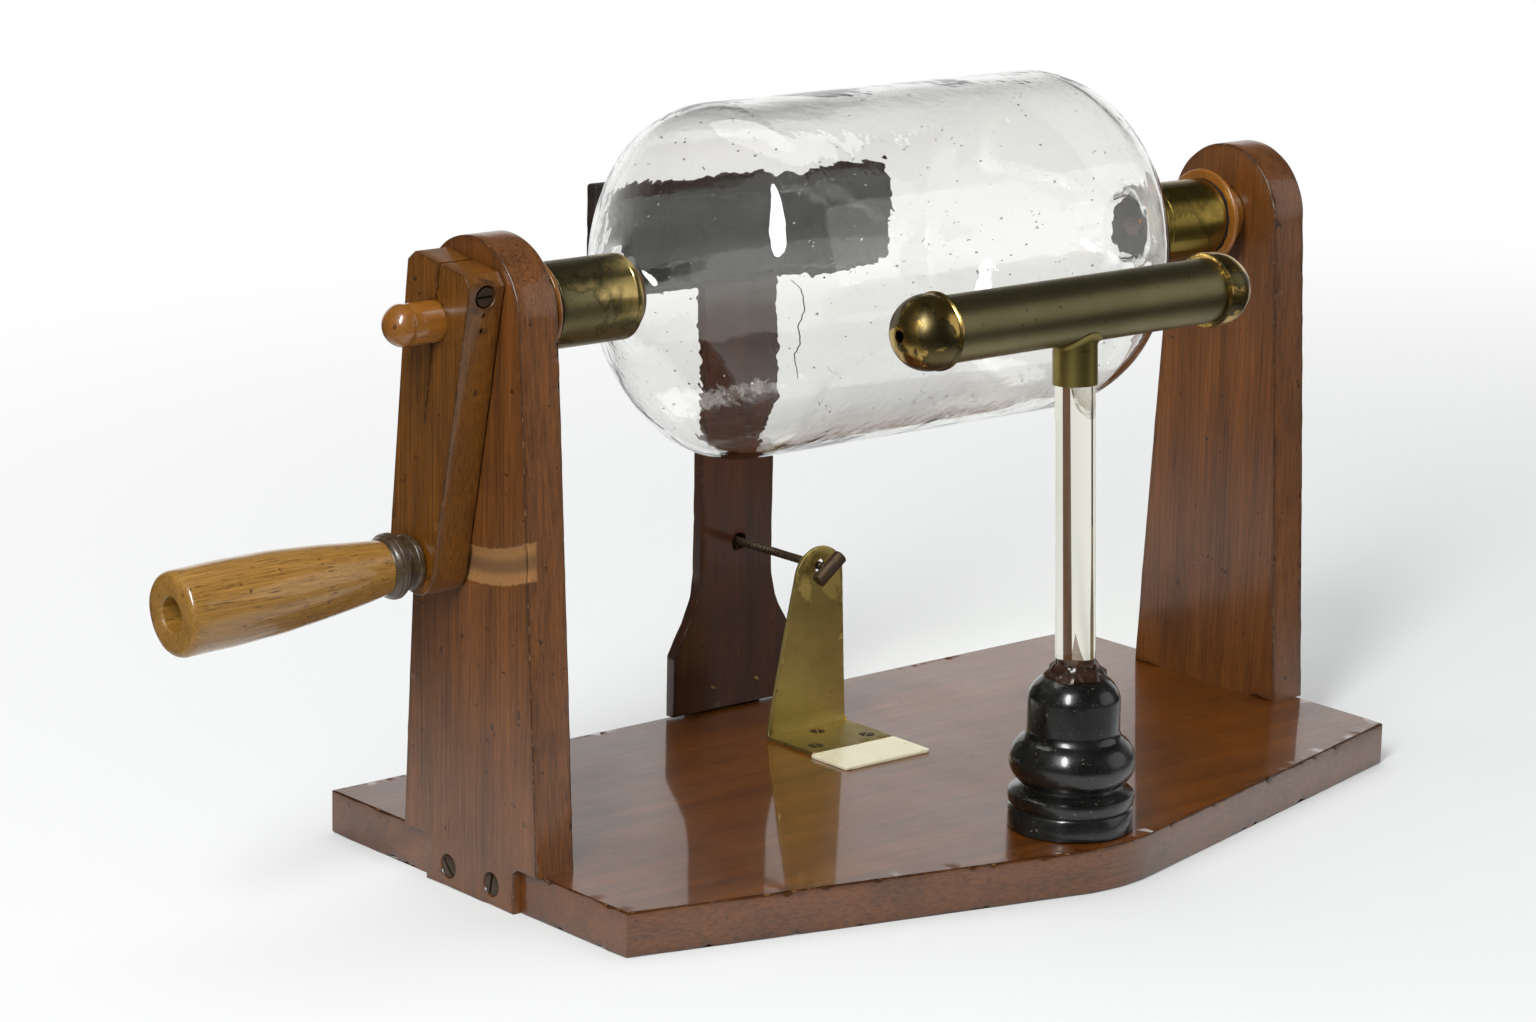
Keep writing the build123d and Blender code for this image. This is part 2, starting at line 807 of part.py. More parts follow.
with BuildPart() as wax_seal:
    with BuildSketch(rod_plane.offset(-wax_sunk)):
        Circle(wax_radius)
        Circle(glass_rod_radius + rod_fit, mode=Mode.SUBTRACT)
    extrude(amount=wax_height, taper=wax_taper)
    split(bisect_by=Plane.XY.offset(foot + pillar_height + screw_fit), keep=Keep.TOP)
save(wax_seal.part, "wax_seal")

socket_top = conductor_rise - tube_radius
rod_length = socket_top - rod_end_gap
with BuildPart() as glass_pillar:
    with BuildSketch(rod_plane.offset(-glass_rod_sunk)):
        Circle(glass_rod_radius)
    extrude(amount=glass_rod_sunk + rod_length)
    chamfer(edges().group_by(Axis.Z)[-1], rod_end_edge)
save(glass_pillar.part, "glass_pillar")

with BuildPart() as conductor_socket:
    with BuildSketch(rod_plane.offset(rod_length - socket_depth)):
        Circle(socket_radius)
    extrude(amount=conductor_rise - rod_length + socket_depth)
    with BuildSketch(rod_plane.offset(rod_length - socket_depth)):
        Circle(glass_rod_radius + rod_fit / 2)
    extrude(amount=socket_depth + 0.3, mode=Mode.SUBTRACT)
    with BuildSketch(across(-30, conductor_mid.Y, conductor_mid.Z)):
        Circle(tube_radius)
    extrude(amount=60, mode=Mode.SUBTRACT)
save(conductor_socket.part, "conductor_socket")

# ---------------------------------------------------------------- conductor tube and balls
tube_left = ball_centre_left + ball_overlap
tube_right = ball_centre_right - ball_overlap
with BuildPart() as conductor_tube:
    with BuildSketch(across(tube_left, conductor_mid.Y, conductor_mid.Z)):
        Circle(tube_radius)
        Circle(tube_radius - tube_wall, mode=Mode.SUBTRACT)
    extrude(amount=tube_right - tube_left)
    # small holes for the collecting points along the back
    row_mid = (pillar_x, conductor_mid.Y, conductor_mid.Z)
    with BuildSketch(Plane(origin=row_mid, x_dir=(-1, 0, 0), z_dir=(0, 1, 0))):
        with GridLocations(point_pitch, 1, point_count, 1):
            Circle(point_radius + point_fit)
    extrude(amount=tube_radius + 1, mode=Mode.SUBTRACT)
save(conductor_tube.part, "conductor_tube")


def make_ball(centre_x, outward, node, holed):
    ball_centre = (centre_x, conductor_mid.Y, conductor_mid.Z)
    ball_plane = Plane(origin=ball_centre, x_dir=(outward, 0, 0), z_dir=(0, -outward, 0))
    with BuildPart() as ball:
        with BuildSketch(ball_plane):
            with BuildLine():
                inner_r = tube_radius + ball_fit
                dome_r = ball_radius - ball_wall
                knee = math.sqrt(dome_r**2 - inner_r**2)
                Polyline(
                    (-ball_skirt, inner_r),
                    (-ball_skirt, ball_radius - ball_neck),
                )
                ThreePointArc(
                    (-ball_skirt, ball_radius - ball_neck),
                    (-ball_skirt + ball_bead / 2, ball_radius + ball_bead_rise),
                    (-ball_skirt + ball_bead, ball_radius - ball_bead_rise),
                )
                Polyline(
                    (-ball_skirt + ball_bead, ball_radius - ball_bead_rise),
                    (-ball_taper, ball_radius - ball_slack),
                    (0, ball_radius),
                )
                ThreePointArc(
                    (0, ball_radius),
                    (ball_radius * math.sin(math.pi / 4), ball_radius * math.cos(math.pi / 4)),
                    (ball_radius, 0),
                )
                Line((ball_radius, 0), (dome_r, 0))
                ThreePointArc(
                    (dome_r, 0),
                    (dome_r * math.cos(math.pi / 5), dome_r * math.sin(math.pi / 5)),
                    (knee, inner_r),
                )
                Line((knee, inner_r), (-ball_skirt, inner_r))
            make_face()
        revolve(axis=conductor_axis)
        if holed:
            with BuildSketch(across(centre_x, conductor_mid.Y, conductor_mid.Z, outward)):
                Circle(ball_hole_radius)
            extrude(amount=ball_radius + 1, mode=Mode.SUBTRACT)
    save(ball.part, node)


make_ball(ball_centre_left, -1, "conductor_ball_left", True)
make_ball(ball_centre_right, 1, "conductor_ball_right", False)

point_start = tube_radius - tube_wall - point_inside
with BuildPart() as collector_points:
    for step in range(point_count):
        px = pillar_x + (step - (point_count - 1) / 2) * point_pitch
        point_root = (px, conductor_mid.Y, conductor_mid.Z)
        with BuildSketch(Plane(origin=point_root, x_dir=(1, 0, 0), z_dir=(0, 0, 1))):
            with BuildLine():
                Polyline(
                    (0, point_start),
                    (point_radius, point_start),
                    (point_radius, tube_radius + point_length - point_taper),
                    (point_tip, tube_radius + point_length),
                    (0, tube_radius + point_length),
                    close=True,
                )
            make_face()
        revolve(axis=Axis(point_root, (0, 1, 0)))
save(collector_points.part, "collector_points")

# ---------------------------------------------------------------- rubber support
board_front = board_back - board_thick
board_foot = base_thick + board_lift
board_plane = Plane(origin=(board_centre_x, board_front, 0), x_dir=(1, 0, 0), z_dir=(0, -1, 0))
with BuildPart() as rubber_support:
    with BuildSketch(board_plane):
        with BuildLine():
            Polyline(
                (-board_half, board_flare_top),
                (-board_half, board_top),
                (board_half, board_top),
                (board_half, board_flare_top),
            )
            Spline(
                (board_half, board_flare_top),
                (board_half + flare_in, board_flare_top - flare_high),
                (board_foot_half - flare_in, board_foot_top + flare_low),
                (board_foot_half, board_foot_top),
                tangents=[(0, -1), (0.6, -1)],
            )
            Polyline(
                (board_foot_half, board_foot_top),
                (board_foot_half, board_foot),
                (-board_foot_half, board_foot),
                (-board_foot_half, board_foot_top),
            )
            Spline(
                (-board_foot_half, board_foot_top),
                (-board_foot_half + flare_in, board_foot_top + flare_low),
                (-board_half - flare_in, board_flare_top - flare_high),
                (-board_half, board_flare_top),
                tangents=[(0.6, 1), (0, 1)],
            )
        make_face()
    extrude(amount=-board_thick)
    # enlarged hole for the adjusting screw
    with BuildSketch(board_plane):
        with Locations((-board_centre_x, adjust_z)):
            Circle(board_hole_radius)
    extrude(amount=-board_thick, mode=Mode.SUBTRACT)
    # seat of the hinge leaf and its screw holes on the back
    with BuildSketch(Plane(origin=(board_centre_x, board_back, 0), x_dir=(-1, 0, 0), z_dir=(0, 1, 0))):
        with Locations(*[(x, base_thick + hinge_screw_rise) for x in (-hinge_screw_x, hinge_screw_x)]):
            Circle(hinge_screw_radius + screw_fit)
        with Locations(*[(board_centre_x + x, adjust_z) for x in (-nut_screw_offset, nut_screw_offset)]):
            Circle(nut_pin_hole)
    extrude(amount=-board_thick + hinge_blind, mode=Mode.SUBTRACT)
save(rubber_support.part, "rubber_support")

# ---------------------------------------------------------------- rubber back and cushion
pad_front_board = board_front - pad_back_thick
with BuildPart() as rubber_back:
    pad_mid = (pad_centre_x, board_front, pad_centre_z)
    with BuildSketch(Plane(origin=pad_mid, x_dir=(1, 0, 0), z_dir=(0, -1, 0))):
        Rectangle(2 * pad_half_length, 2 * pad_half_height)
    extrude(amount=pad_back_thick)
    chamfer(edges().group_by(Axis.Y)[-1], pad_back_edge)
save(rubber_back.part, "rubber_back")

cushion_front = axis_y + glass_radius + cushion_gap
cushion_low = pad_centre_z - pad_half_height + cushion_inset
cushion_high = pad_centre_z + pad_half_height - cushion_inset
cushion_half = pad_half_length - cushion_inset
with BuildPart() as rubber_cushion:
    with BuildSketch(across(pad_centre_x - cushion_half, 0, 0)):
        with BuildLine():
            Polyline(
                (cushion_front + cushion_crown + cushion_tuck, cushion_low + cushion_lip),
                (pad_front_board, cushion_low + cushion_tuck),
                (pad_front_board, cushion_high - cushion_tuck),
                (cushion_front + cushion_crown + cushion_tuck, cushion_high - cushion_lip),
            )
            Spline(
                (cushion_front + cushion_crown + cushion_tuck, cushion_high - cushion_lip),
                (cushion_front + cushion_swell, cushion_high - cushion_swell_in),
                (cushion_front, axis_z),
                (cushion_front + cushion_swell, cushion_low + cushion_swell_in),
                (cushion_front + cushion_crown + cushion_tuck, cushion_low + cushion_lip),
                tangents=[(-1, 0), (1, 0)],
            )
        make_face()
    extrude(amount=2 * cushion_half)
    # drawn-in ends
    for end in (-1, 1):
        with BuildSketch(Plane(origin=(pad_centre_x, 0, pad_centre_z), x_dir=(1, 0, 0), z_dir=(0, 0, 1))):
            with BuildLine():
                Polyline(
                    (end * cushion_half, cushion_front - drill_extra),
                    (end * cushion_half, pad_front_board),
                )
                Spline(
                    (end * cushion_half, pad_front_board),
                    (end * (cushion_half - cushion_end_in), cushion_front + cushion_end_deep),
                    (end * (cushion_half - cushion_end_mid), cushion_front + cushion_lip),
                    (end * (cushion_half - cushion_end_run), cushion_front - drill_extra),
                )
                Line(
                    (end * (cushion_half - cushion_end_run), cushion_front - drill_extra),
                    (end * cushion_half, cushion_front - drill_extra),
                )
            make_face()
        extrude(amount=2 * pad_half_height, both=True, mode=Mode.SUBTRACT)
save(rubber_cushion.part, "rubber_cushion")

# ---------------------------------------------------------------- hinge
hinge_y = board_back + hinge_leaf / 2 + hinge_knuckle_radius - hinge_knuckle_sunk
hinge_z = base_thick + board_lift / 2
knuckle_edges = (-hinge_half, -hinge_half / 3, hinge_half / 3, hinge_half)


def make_leaf(node, moving):
    low = hinge_z if moving else hinge_z - hinge_leaf_height
    high = hinge_z + hinge_leaf_height if moving else hinge_z
    with BuildPart() as leaf:
        with BuildSketch(Plane(origin=(board_centre_x, board_back, 0), x_dir=(-1, 0, 0), z_dir=(0, 1, 0))):
            with Locations((0, (low + high) / 2)):
                Rectangle(2 * hinge_half, high - low)
        extrude(amount=hinge_leaf)
        for index in range(3):
            start = knuckle_edges[index] + hinge_gap / 2
            width = knuckle_edges[index + 1] - knuckle_edges[index] - hinge_gap
            mine = (index == 1) == moving
            with BuildSketch(across(board_centre_x + start, hinge_y, hinge_z)):
                Circle(hinge_knuckle_radius if mine else hinge_knuckle_radius + hinge_gap)
            extrude(
                amount=width if mine else width + hinge_gap,
                mode=Mode.ADD if mine else Mode.SUBTRACT,
            )
            if not mine:
                # leaf is cut back clear of the other leaf's knuckle
                with BuildSketch(across(board_centre_x + start - hinge_gap, hinge_y, hinge_z)):
                    Rectangle(2 * hinge_y - 2 * board_back + 1, 2 * hinge_knuckle_radius + 2 * hinge_gap)
                extrude(amount=width + 2 * hinge_gap, mode=Mode.SUBTRACT)
        with BuildSketch(across(board_centre_x - hinge_half, hinge_y, hinge_z)):
            Circle(hinge_pin_radius + (hinge_fit if moving else 0.0))
        extrude(amount=2 * hinge_half, mode=Mode.SUBTRACT)
        screw_z = base_thick + hinge_screw_rise if moving else base_thick / 2
        for x in (-hinge_screw_x, hinge_screw_x):
            seat = (board_centre_x + x, board_back + hinge_leaf, screw_z)
            out_plane = Plane(origin=seat, x_dir=(1, 0, 0), z_dir=(0, 1, 0))
            with BuildSketch(out_plane):
                Circle(hinge_head_radius + screw_fit)
            with BuildSketch(out_plane.offset(-hinge_head_depth)):
                Circle(hinge_screw_radius + screw_fit)
            loft(mode=Mode.SUBTRACT)
            with BuildSketch(out_plane):
                Circle(hinge_screw_radius + screw_fit)
            extrude(amount=-hinge_leaf, mode=Mode.SUBTRACT)
    save(leaf.part, node)


make_leaf("hinge_base_leaf", False)
make_leaf("hinge_board_leaf", True)

with BuildPart() as hinge_pin:
    with BuildSketch(across(board_centre_x - hinge_half, hinge_y, hinge_z)):
        Circle(hinge_pin_radius)
    extrude(amount=2 * hinge_half)
save(hinge_pin.part, "hinge_pin")

hinge_head_y = board_back + hinge_leaf - hinge_head_sunk
for node, screw_z, length in (
    ("hinge_base_screws", base_thick / 2, hinge_screw_long),
    ("hinge_board_screws", base_thick + hinge_screw_rise, hinge_screw_short),
):
    make_screws(
        node,
        [(board_centre_x + x, hinge_head_y, screw_z) for x in (-hinge_screw_x, hinge_screw_x)],
        (1, 0, 0),
        (0, 1, 0),
        hinge_head_radius,
        hinge_head_depth,
        hinge_screw_radius,
        length,
    )

# ---------------------------------------------------------------- adjusting bracket
bend = math.radians(bracket_lean)
plate_up = Vector(0, -math.sin(bend), math.cos(bend))
plate_out = Vector(0, -math.cos(bend), -math.sin(bend))
plate_root = Vector(0, bracket_fold_y, base_thick)
plate_plane = Plane(origin=plate_root, x_dir=(1, 0, 0), z_dir=plate_out)
plate_hole = (adjust_z - base_thick) / math.cos(bend)
arc_mid = bracket_height - bracket_top_radius
with BuildPart() as adjusting_bracket:
    with BuildSketch(plate_plane):
        with BuildLine():
            Polyline(
                (-bracket_top_radius, arc_mid),
                (-bracket_half_bottom, 0),
                (bracket_half_bottom, 0),
                (bracket_top_radius, arc_mid),
            )
            ThreePointArc(
                (bracket_top_radius, arc_mid),
                (0, bracket_height),
                (-bracket_top_radius, arc_mid),
            )
        make_face()
    extrude(amount=bracket_thick)
    split(bisect_by=Plane.XY.offset(base_thick), keep=Keep.TOP)
    with BuildSketch(Plane.XY.offset(base_thick)):
        with Locations((0, (bracket_fold_y + bracket_front_y) / 2)):
            Rectangle(2 * bracket_half_bottom, bracket_fold_y - bracket_front_y)
    extrude(amount=bracket_thick)
    # hole for the adjusting screw, level with the board's hole
    with BuildSketch(Plane(origin=(0, bracket_fold_y, adjust_z), x_dir=(1, 0, 0), z_dir=(0, -1, 0))):
        Circle(adjust_radius + bracket_hole_fit)
    extrude(amount=30, mode=Mode.SUBTRACT)
    for x, y in bracket_seats:
        with BuildSketch(Plane.XY.offset(base_thick)):
            with Locations((x, y)):
                Circle(bracket_screw_radius + screw_fit)
        extrude(amount=bracket_thick, mode=Mode.SUBTRACT)
save(adjusting_bracket.part, "adjusting_bracket")

foot_top = base_thick + bracket_thick
with BuildPart() as bracket_screws:
    for x, y in bracket_seats:
        head = bracket_screw_head if x else bracket_screw_head * bracket_pin_share
        with BuildSketch(Plane.XY.offset(foot_top)):
            with Locations((x, y)):
                Circle(head)
        extrude(amount=bracket_head_depth, taper=bracket_head_taper)
        with BuildSketch(Plane.XY.offset(foot_top)):
            with Locations((x, y)):
                Circle(bracket_screw_radius)
        extrude(amount=-bracket_screw_length + bracket_thick)
        with BuildSketch(Plane.XY.offset(foot_top + bracket_head_depth)):
            with Locations((x, y)):
                Rectangle(2 * head, bracket_slot_width)
        extrude(amount=-bracket_slot_depth, mode=Mode.SUBTRACT)
save(bracket_screws.part, "bracket_screws")

# ---------------------------------------------------------------- adjusting screw, cross bar and nut
nut_back = board_back + nut_thick
adjust_back_y = nut_back + adjust_beyond_nut
with BuildPart() as adjusting_screw:
    with BuildSketch(Plane(origin=(0, adjust_front_y, adjust_z), x_dir=(1, 0, 0), z_dir=(0, 1, 0))):
        Circle(adjust_radius)
    extrude(amount=adjust_back_y - adjust_front_y)
    chamfer(edges().group_by(Axis.Y)[-1], rod_edge)
save(adjusting_screw.part, "adjusting_screw")

plate_front_y = bracket_fold_y - plate_hole * math.sin(bend) - bracket_thick / math.cos(bend)
cross_y = plate_front_y - cross_radius - cross_gap
cross_dir = Vector(math.cos(math.radians(cross_turn)), 0, math.sin(math.radians(cross_turn)))
cross_mid = Vector(0, cross_y, adjust_z)
with BuildPart() as adjusting_cross_bar:
    with BuildSketch(Plane(origin=cross_mid - cross_dir * cross_half, x_dir=(0, 1, 0), z_dir=cross_dir)):
        Circle(cross_radius)
    extrude(amount=2 * cross_half)
    chamfer(edges().filter_by(GeomType.CIRCLE), rod_edge)
    with BuildSketch(Plane(origin=(0, adjust_front_y, adjust_z), x_dir=(1, 0, 0), z_dir=(0, 1, 0))):
        Circle(adjust_radius + cross_fit)
    extrude(amount=30, mode=Mode.SUBTRACT)
save(adjusting_cross_bar.part, "adjusting_cross_bar")

with BuildPart() as adjusting_nut:
    with BuildSketch(Plane(origin=(0, board_back, adjust_z), x_dir=(-1, 0, 0), z_dir=(0, 1, 0))):
        Rectangle(2 * nut_half, nut_half * nut_height_share)
        Circle(adjust_radius + nut_fit, mode=Mode.SUBTRACT)
        with Locations((-nut_screw_offset, 0), (nut_screw_offset, 0)):
            Circle(nut_pin_hole, mode=Mode.SUBTRACT)
    extrude(amount=nut_thick)
    chamfer(edges().group_by(Axis.Y)[-1].filter_by(GeomType.LINE), rod_edge)
save(adjusting_nut.part, "adjusting_nut")

with BuildPart() as nut_pins:
    for x in (-nut_screw_offset, nut_screw_offset):
        with BuildSketch(Plane(origin=(x, nut_back, adjust_z), x_dir=(-1, 0, 0), z_dir=(0, 1, 0))):
            Circle(nut_pin_radius)
        extrude(amount=-(nut_thick + board_thick - nut_pin_short))
        with BuildSketch(Plane(origin=(x, nut_back, adjust_z), x_dir=(-1, 0, 0), z_dir=(0, 1, 0))):
            Circle(nut_pin_head)
        extrude(amount=nut_pin_head_high, taper=nut_pin_taper)
save(nut_pins.part, "nut_pins")
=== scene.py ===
"""Glass cylinder electrical machine: the dressed model, its materials, stage and camera."""

import math
import random

import bmesh
import bpy
import numpy as np
from mathutils import Matrix, Vector, geometry, kdtree, noise


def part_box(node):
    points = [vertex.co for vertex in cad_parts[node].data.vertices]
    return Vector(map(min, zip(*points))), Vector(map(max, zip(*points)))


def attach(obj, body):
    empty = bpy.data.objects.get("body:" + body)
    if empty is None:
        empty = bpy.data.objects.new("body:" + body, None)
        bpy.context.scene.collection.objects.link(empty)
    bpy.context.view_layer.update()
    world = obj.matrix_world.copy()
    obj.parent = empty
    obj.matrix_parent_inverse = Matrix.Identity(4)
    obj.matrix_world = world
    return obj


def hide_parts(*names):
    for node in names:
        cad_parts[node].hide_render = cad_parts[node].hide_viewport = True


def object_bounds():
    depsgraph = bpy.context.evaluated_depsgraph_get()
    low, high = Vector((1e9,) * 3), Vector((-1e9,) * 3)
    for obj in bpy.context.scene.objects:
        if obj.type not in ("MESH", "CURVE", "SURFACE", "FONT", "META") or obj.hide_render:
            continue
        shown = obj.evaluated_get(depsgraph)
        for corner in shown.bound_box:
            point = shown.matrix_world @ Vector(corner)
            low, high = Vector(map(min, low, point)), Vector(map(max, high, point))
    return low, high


bl_info = {
    "name": "Cylinder electrical machine",
    "version": (1, 0, 0),
    "blender": (4, 5, 0),
    "location": "3D View > Sidebar > Machine",
    "description": "Builds and finishes a hand cranked glass cylinder machine on its CAD frame",
    "category": "Object",
}

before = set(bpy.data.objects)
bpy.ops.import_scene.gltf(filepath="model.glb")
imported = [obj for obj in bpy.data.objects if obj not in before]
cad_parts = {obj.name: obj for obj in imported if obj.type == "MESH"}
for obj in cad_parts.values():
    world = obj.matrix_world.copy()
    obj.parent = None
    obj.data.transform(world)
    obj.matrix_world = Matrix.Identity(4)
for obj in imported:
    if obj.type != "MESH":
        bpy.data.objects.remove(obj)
CAD_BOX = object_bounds()

MM = 0.001
SHARP = math.radians(38)  # edges turned more than this stay crisp


# ------------------------------------------------------------------ small tools
def srgb(code):
    """Linear colour with alpha 1 from an sRGB hex code."""
    parts = [int(code[i : i + 2], 16) / 255 for i in (1, 3, 5)]
    return [c / 12.92 if c <= 0.04045 else ((c + 0.055) / 1.055) ** 2.4 for c in parts] + [1.0]


def length(name, description, millimetres):
    """A length among the settings, given in millimetres and kept in metres."""
    return bpy.props.FloatProperty(
        name=name, description=description, default=millimetres * MM, unit="LENGTH", precision=5
    )


def colour(name, description, code):
    """A colour among the settings, given as an sRGB hex code."""
    return bpy.props.FloatVectorProperty(
        name=name, description=description, default=srgb(code), size=4, subtype="COLOR", min=0, max=1
    )


def feed(tree, node, values):
    """Links an input that is given a socket and sets any other to its value."""
    for key, value in values.items():
        if isinstance(value, bpy.types.NodeSocket):
            tree.links.new(value, node.inputs[key])
        else:
            node.inputs[key].default_value = value


def add(tree, kind, inputs=None, **settings):
    """Adds a node with its settings and its inputs, linked or set."""
    node = tree.nodes.new(kind)
    for key, value in settings.items():
        setattr(node, key, value)
    feed(tree, node, inputs or {})
    return node


def mm(rows):
    """Rows of numbers given in millimetres, in metres."""
    return [tuple(n * MM for n in row) for row in rows]


def node_box(name):
    """Low corner, high corner and middle of a CAD piece."""
    low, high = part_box(name)
    return Vector(low), Vector(high), (Vector(low) + Vector(high)) / 2


# ------------------------------------------------------------------ stations read from the frame
_, glass_high, glass_mid = node_box("glass_cylinder")
_, base_high, _ = node_box("base_board")
post_low, post_high, _ = node_box("crank_post")
far_low, far_high, _ = node_box("far_post")
AXIS = Vector((0, glass_mid.y, glass_mid.z))
BASE_TOP = base_high.z
X, Y, Z = Vector((1, 0, 0)), Vector((0, 1, 0)), Vector((0, 0, 1))

# fixed places that several pieces share
POST_BORE = 8.15 * MM
LUG_SCREWS = [(y * MM, 8.3 * MM) for y in (11.4, -15.7)]  # across and up on each post's outer face
ADJUSTER_Z = 89.6 * MM
ROD_X, ROD_Y, ROD_LEAN = -1.4 * MM, -114.7 * MM, math.radians(3.0)  # the conductor's glass rod
ROD_UP = Vector((0, math.sin(ROD_LEAN), math.cos(ROD_LEAN)))


def along(origin, direction):
    """Matrix that takes a turned profile's axis, local X, to a direction through a point."""
    side = direction.to_track_quat("X", "Z").to_matrix().to_4x4()
    side.translation = origin
    return side


# ------------------------------------------------------------------ settings
class MachineSizes(bpy.types.PropertyGroup):
    """Sizes of the dressed pieces."""

    glass_wall: length("Glass wall", "Thickness of the blown wall", 2.6)
    glass_wobble: length("Glass wobble", "How far the inner face of the blown wall wanders", 0.16)
    neck_radius: length("Neck radius", "Outer radius of the glass necks", 14.7)
    left_shoulder: length("Left shoulder", "Where the barrel ends on the crank side, from the middle", -84.5)
    left_neck: length("Left neck", "Where the crank side neck begins", -138.5)
    right_shoulder: length("Right shoulder", "Where the barrel ends on the far side", 77.0)
    right_neck: length("Right neck", "Where the far side neck begins", 132.0)
    seeds: bpy.props.FloatProperty(
        name="Seeds", description="Air seeds for each square metre of glass face", default=4500.0, min=0
    )
    seed_radius: length("Seed radius", "Radius of a middling air seed in the glass", 0.27)
    board_edge: length("Board edge", "How far the edges of the boards are rounded by wear", 1.0)
    rub_inner: length("Rub inner radius", "Inner radius of the band rubbed into the crank post", 85.9)
    rub_outer: length("Rub outer radius", "Outer radius of that band", 99.7)
    rub_depth: length("Rub depth", "Depth of that band", 1.3)
    screw_head: length("Screw head", "Head radius of the wood screws in the post lugs", 4.6)
    thread_pitch: length("Thread pitch", "Pitch of the adjusting screw", 1.0)
    plate_length: length("Plate length", "Length of the bare plate on the base", 45.0)
    plate_width: length("Plate width", "Width of the bare plate", 23.0)
    plate_thick: length("Plate thickness", "Thickness of the bare plate", 1.4)


class MachineColours(bpy.types.PropertyGroup):
    """Colours of the finishes."""

    mahogany_light: colour("Mahogany, light", "Light grain of the polished mahogany", "#7f4b1c")
    mahogany_dark: colour("Mahogany, dark", "Dark grain of the polished mahogany", "#3f230a")
    raw_wood: colour("Raw wood", "Where the polish is rubbed through", "#80592f")
    oak_light: colour("Handle, light", "Light grain of the handle", "#a87c38")
    oak_dark: colour("Handle, dark", "Dark grain of the handle", "#6a4815")
    brass_bright: colour("Brass, bright", "Brass where it is rubbed bright", "#bfa25c")
    brass_dull: colour("Brass, dull", "Brass where the lacquer has dulled", "#625b40")
    iron_dark: colour("Iron", "Browned iron of the screws", "#4b463e")
    ebony: colour("Ebonised wood", "Black stain of the pillar base", "#0d0e0c")
    plate: colour("Plate", "The ivory coloured plate", "#e6dfc4")
    floor: colour("Floor", "The pale floor", "#dbdddd")


# ------------------------------------------------------------------ shapes
def outward(mesh):
    """Turns every face of a closed mesh outward."""
    shape = bmesh.new()
    shape.from_mesh(mesh)
    if shape.calc_volume(signed=True) < 0:
        bmesh.ops.reverse_faces(shape, faces=shape.faces)
    shape.to_mesh(mesh)
    shape.free()
    return mesh


def placed(mesh, name, material, body, slot, *nodes):
    """Makes a finished mesh a piece of the machine, on its body and in place of CAD nodes."""
    outward(mesh)
    for v in mesh.vertices:
        v.co = [min(max(c, a), b) for c, a, b in zip(v.co, *CAD_BOX)]
    mesh.materials.clear()
    mesh.materials.append(material)
    mesh.shade_smooth()
    mesh.set_sharp_from_angle(angle=SHARP)
    mesh.name = name
    piece = bpy.data.objects.new(name, mesh)
    bpy.context.scene.collection.objects.link(piece)
    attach(piece, body)
    if nodes:
        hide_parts(*nodes)
    return piece


def dressed(material, *nodes):
    """Gives CAD nodes that keep their own shape a finish."""
    for name in nodes:
        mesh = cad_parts[name].data
        mesh.materials.clear()
        mesh.materials.append(material)


def eased(corners, closed=True, steps=4):
    """Points of a line whose corners are given as (x, y) or (x, y, radius of an easing arc)."""
    points = []
    count = len(corners)
    for i, corner in enumerate(corners):
        here = Vector(corner[:2])
        radius = corner[2] if len(corner) > 2 else 0
        if not radius or (not closed and i in (0, count - 1)):
            points.append(here)
            continue
        before = (Vector(corners[i - 1][:2]) - here).normalized()
        after = (Vector(corners[(i + 1) % count][:2]) - here).normalized()
        half = before.angle(after) / 2
        centre = here + (before + after).normalized() * radius / math.sin(half)
        start = here + before * radius / math.tan(half) - centre
        end = here + after * radius / math.tan(half) - centre
        sweep = start.angle_signed(end)
        for k in range(steps + 1):
            turned_by = -sweep * k / steps
            c, s = math.cos(turned_by), math.sin(turned_by)
            points.append(centre + Vector((start.x * c - start.y * s, start.x * s + start.y * c)))
    return points


def flowing(points, first, last, each=8):
    """Smooth line through points that starts and ends in the directions given."""
    line = []
    points = [Vector(p) for p in points]
    reach = [(b - a).length for a, b in zip(points, points[1:])]
    slopes = [Vector(first).normalized()]
    for a, b, c in zip(points, points[1:], points[2:]):
        slopes.append(((b - a) / (b - a).length + (c - b) / (c - b).length).normalized())
    slopes.append(Vector(last).normalized())
    for i, span in enumerate(reach):
        a, b = points[i], points[i + 1]
        p, q = slopes[i] * span / 3, slopes[i + 1] * span / 3
        line += geometry.interpolate_bezier(
            a.to_3d(), (a + p).to_3d(), (b - q).to_3d(), b.to_3d(), each + 1
        )[:-1]
    return [Vector((p.x, p.y)) for p in line] + [points[-1]]


def divided(points, step):
    """Closed line with its runs divided to about a step."""
    fine = []
    for a, b in zip(points, points[1:] + points[:1]):
        parts = max(1, round((b - a).length / step))
        fine += [a.lerp(b, k / parts) for k in range(parts)]
    return fine


def inward_ways(points):
    """The way into the board at each point of its outline, longer at corners so a border keeps its width."""
    ways = []
    for i, p in enumerate(points):
        a = (p - points[i - 1]).normalized()
        b = (points[(i + 1) % len(points)] - p).normalized()
        inward = Vector((-a.y - b.y, a.x + b.x)).normalized()
        ways.append(inward / max(0.5, inward.dot(Vector((-b.y, b.x)))))
    return ways


def enclosed(outline, px, py):
    """Which points lie inside an outline, whose runs are rows of (ax, ay, bx, by)."""
    ax, ay, bx, by = outline.T
    crosses = (ay > py[:, None]) != (by > py[:, None])
    level = np.where(by == ay, 1e-12, by - ay)
    at = ax + (py[:, None] - ay) * (bx - ax) / level
    return (crosses & (px[:, None] < at)).sum(1) % 2 == 1


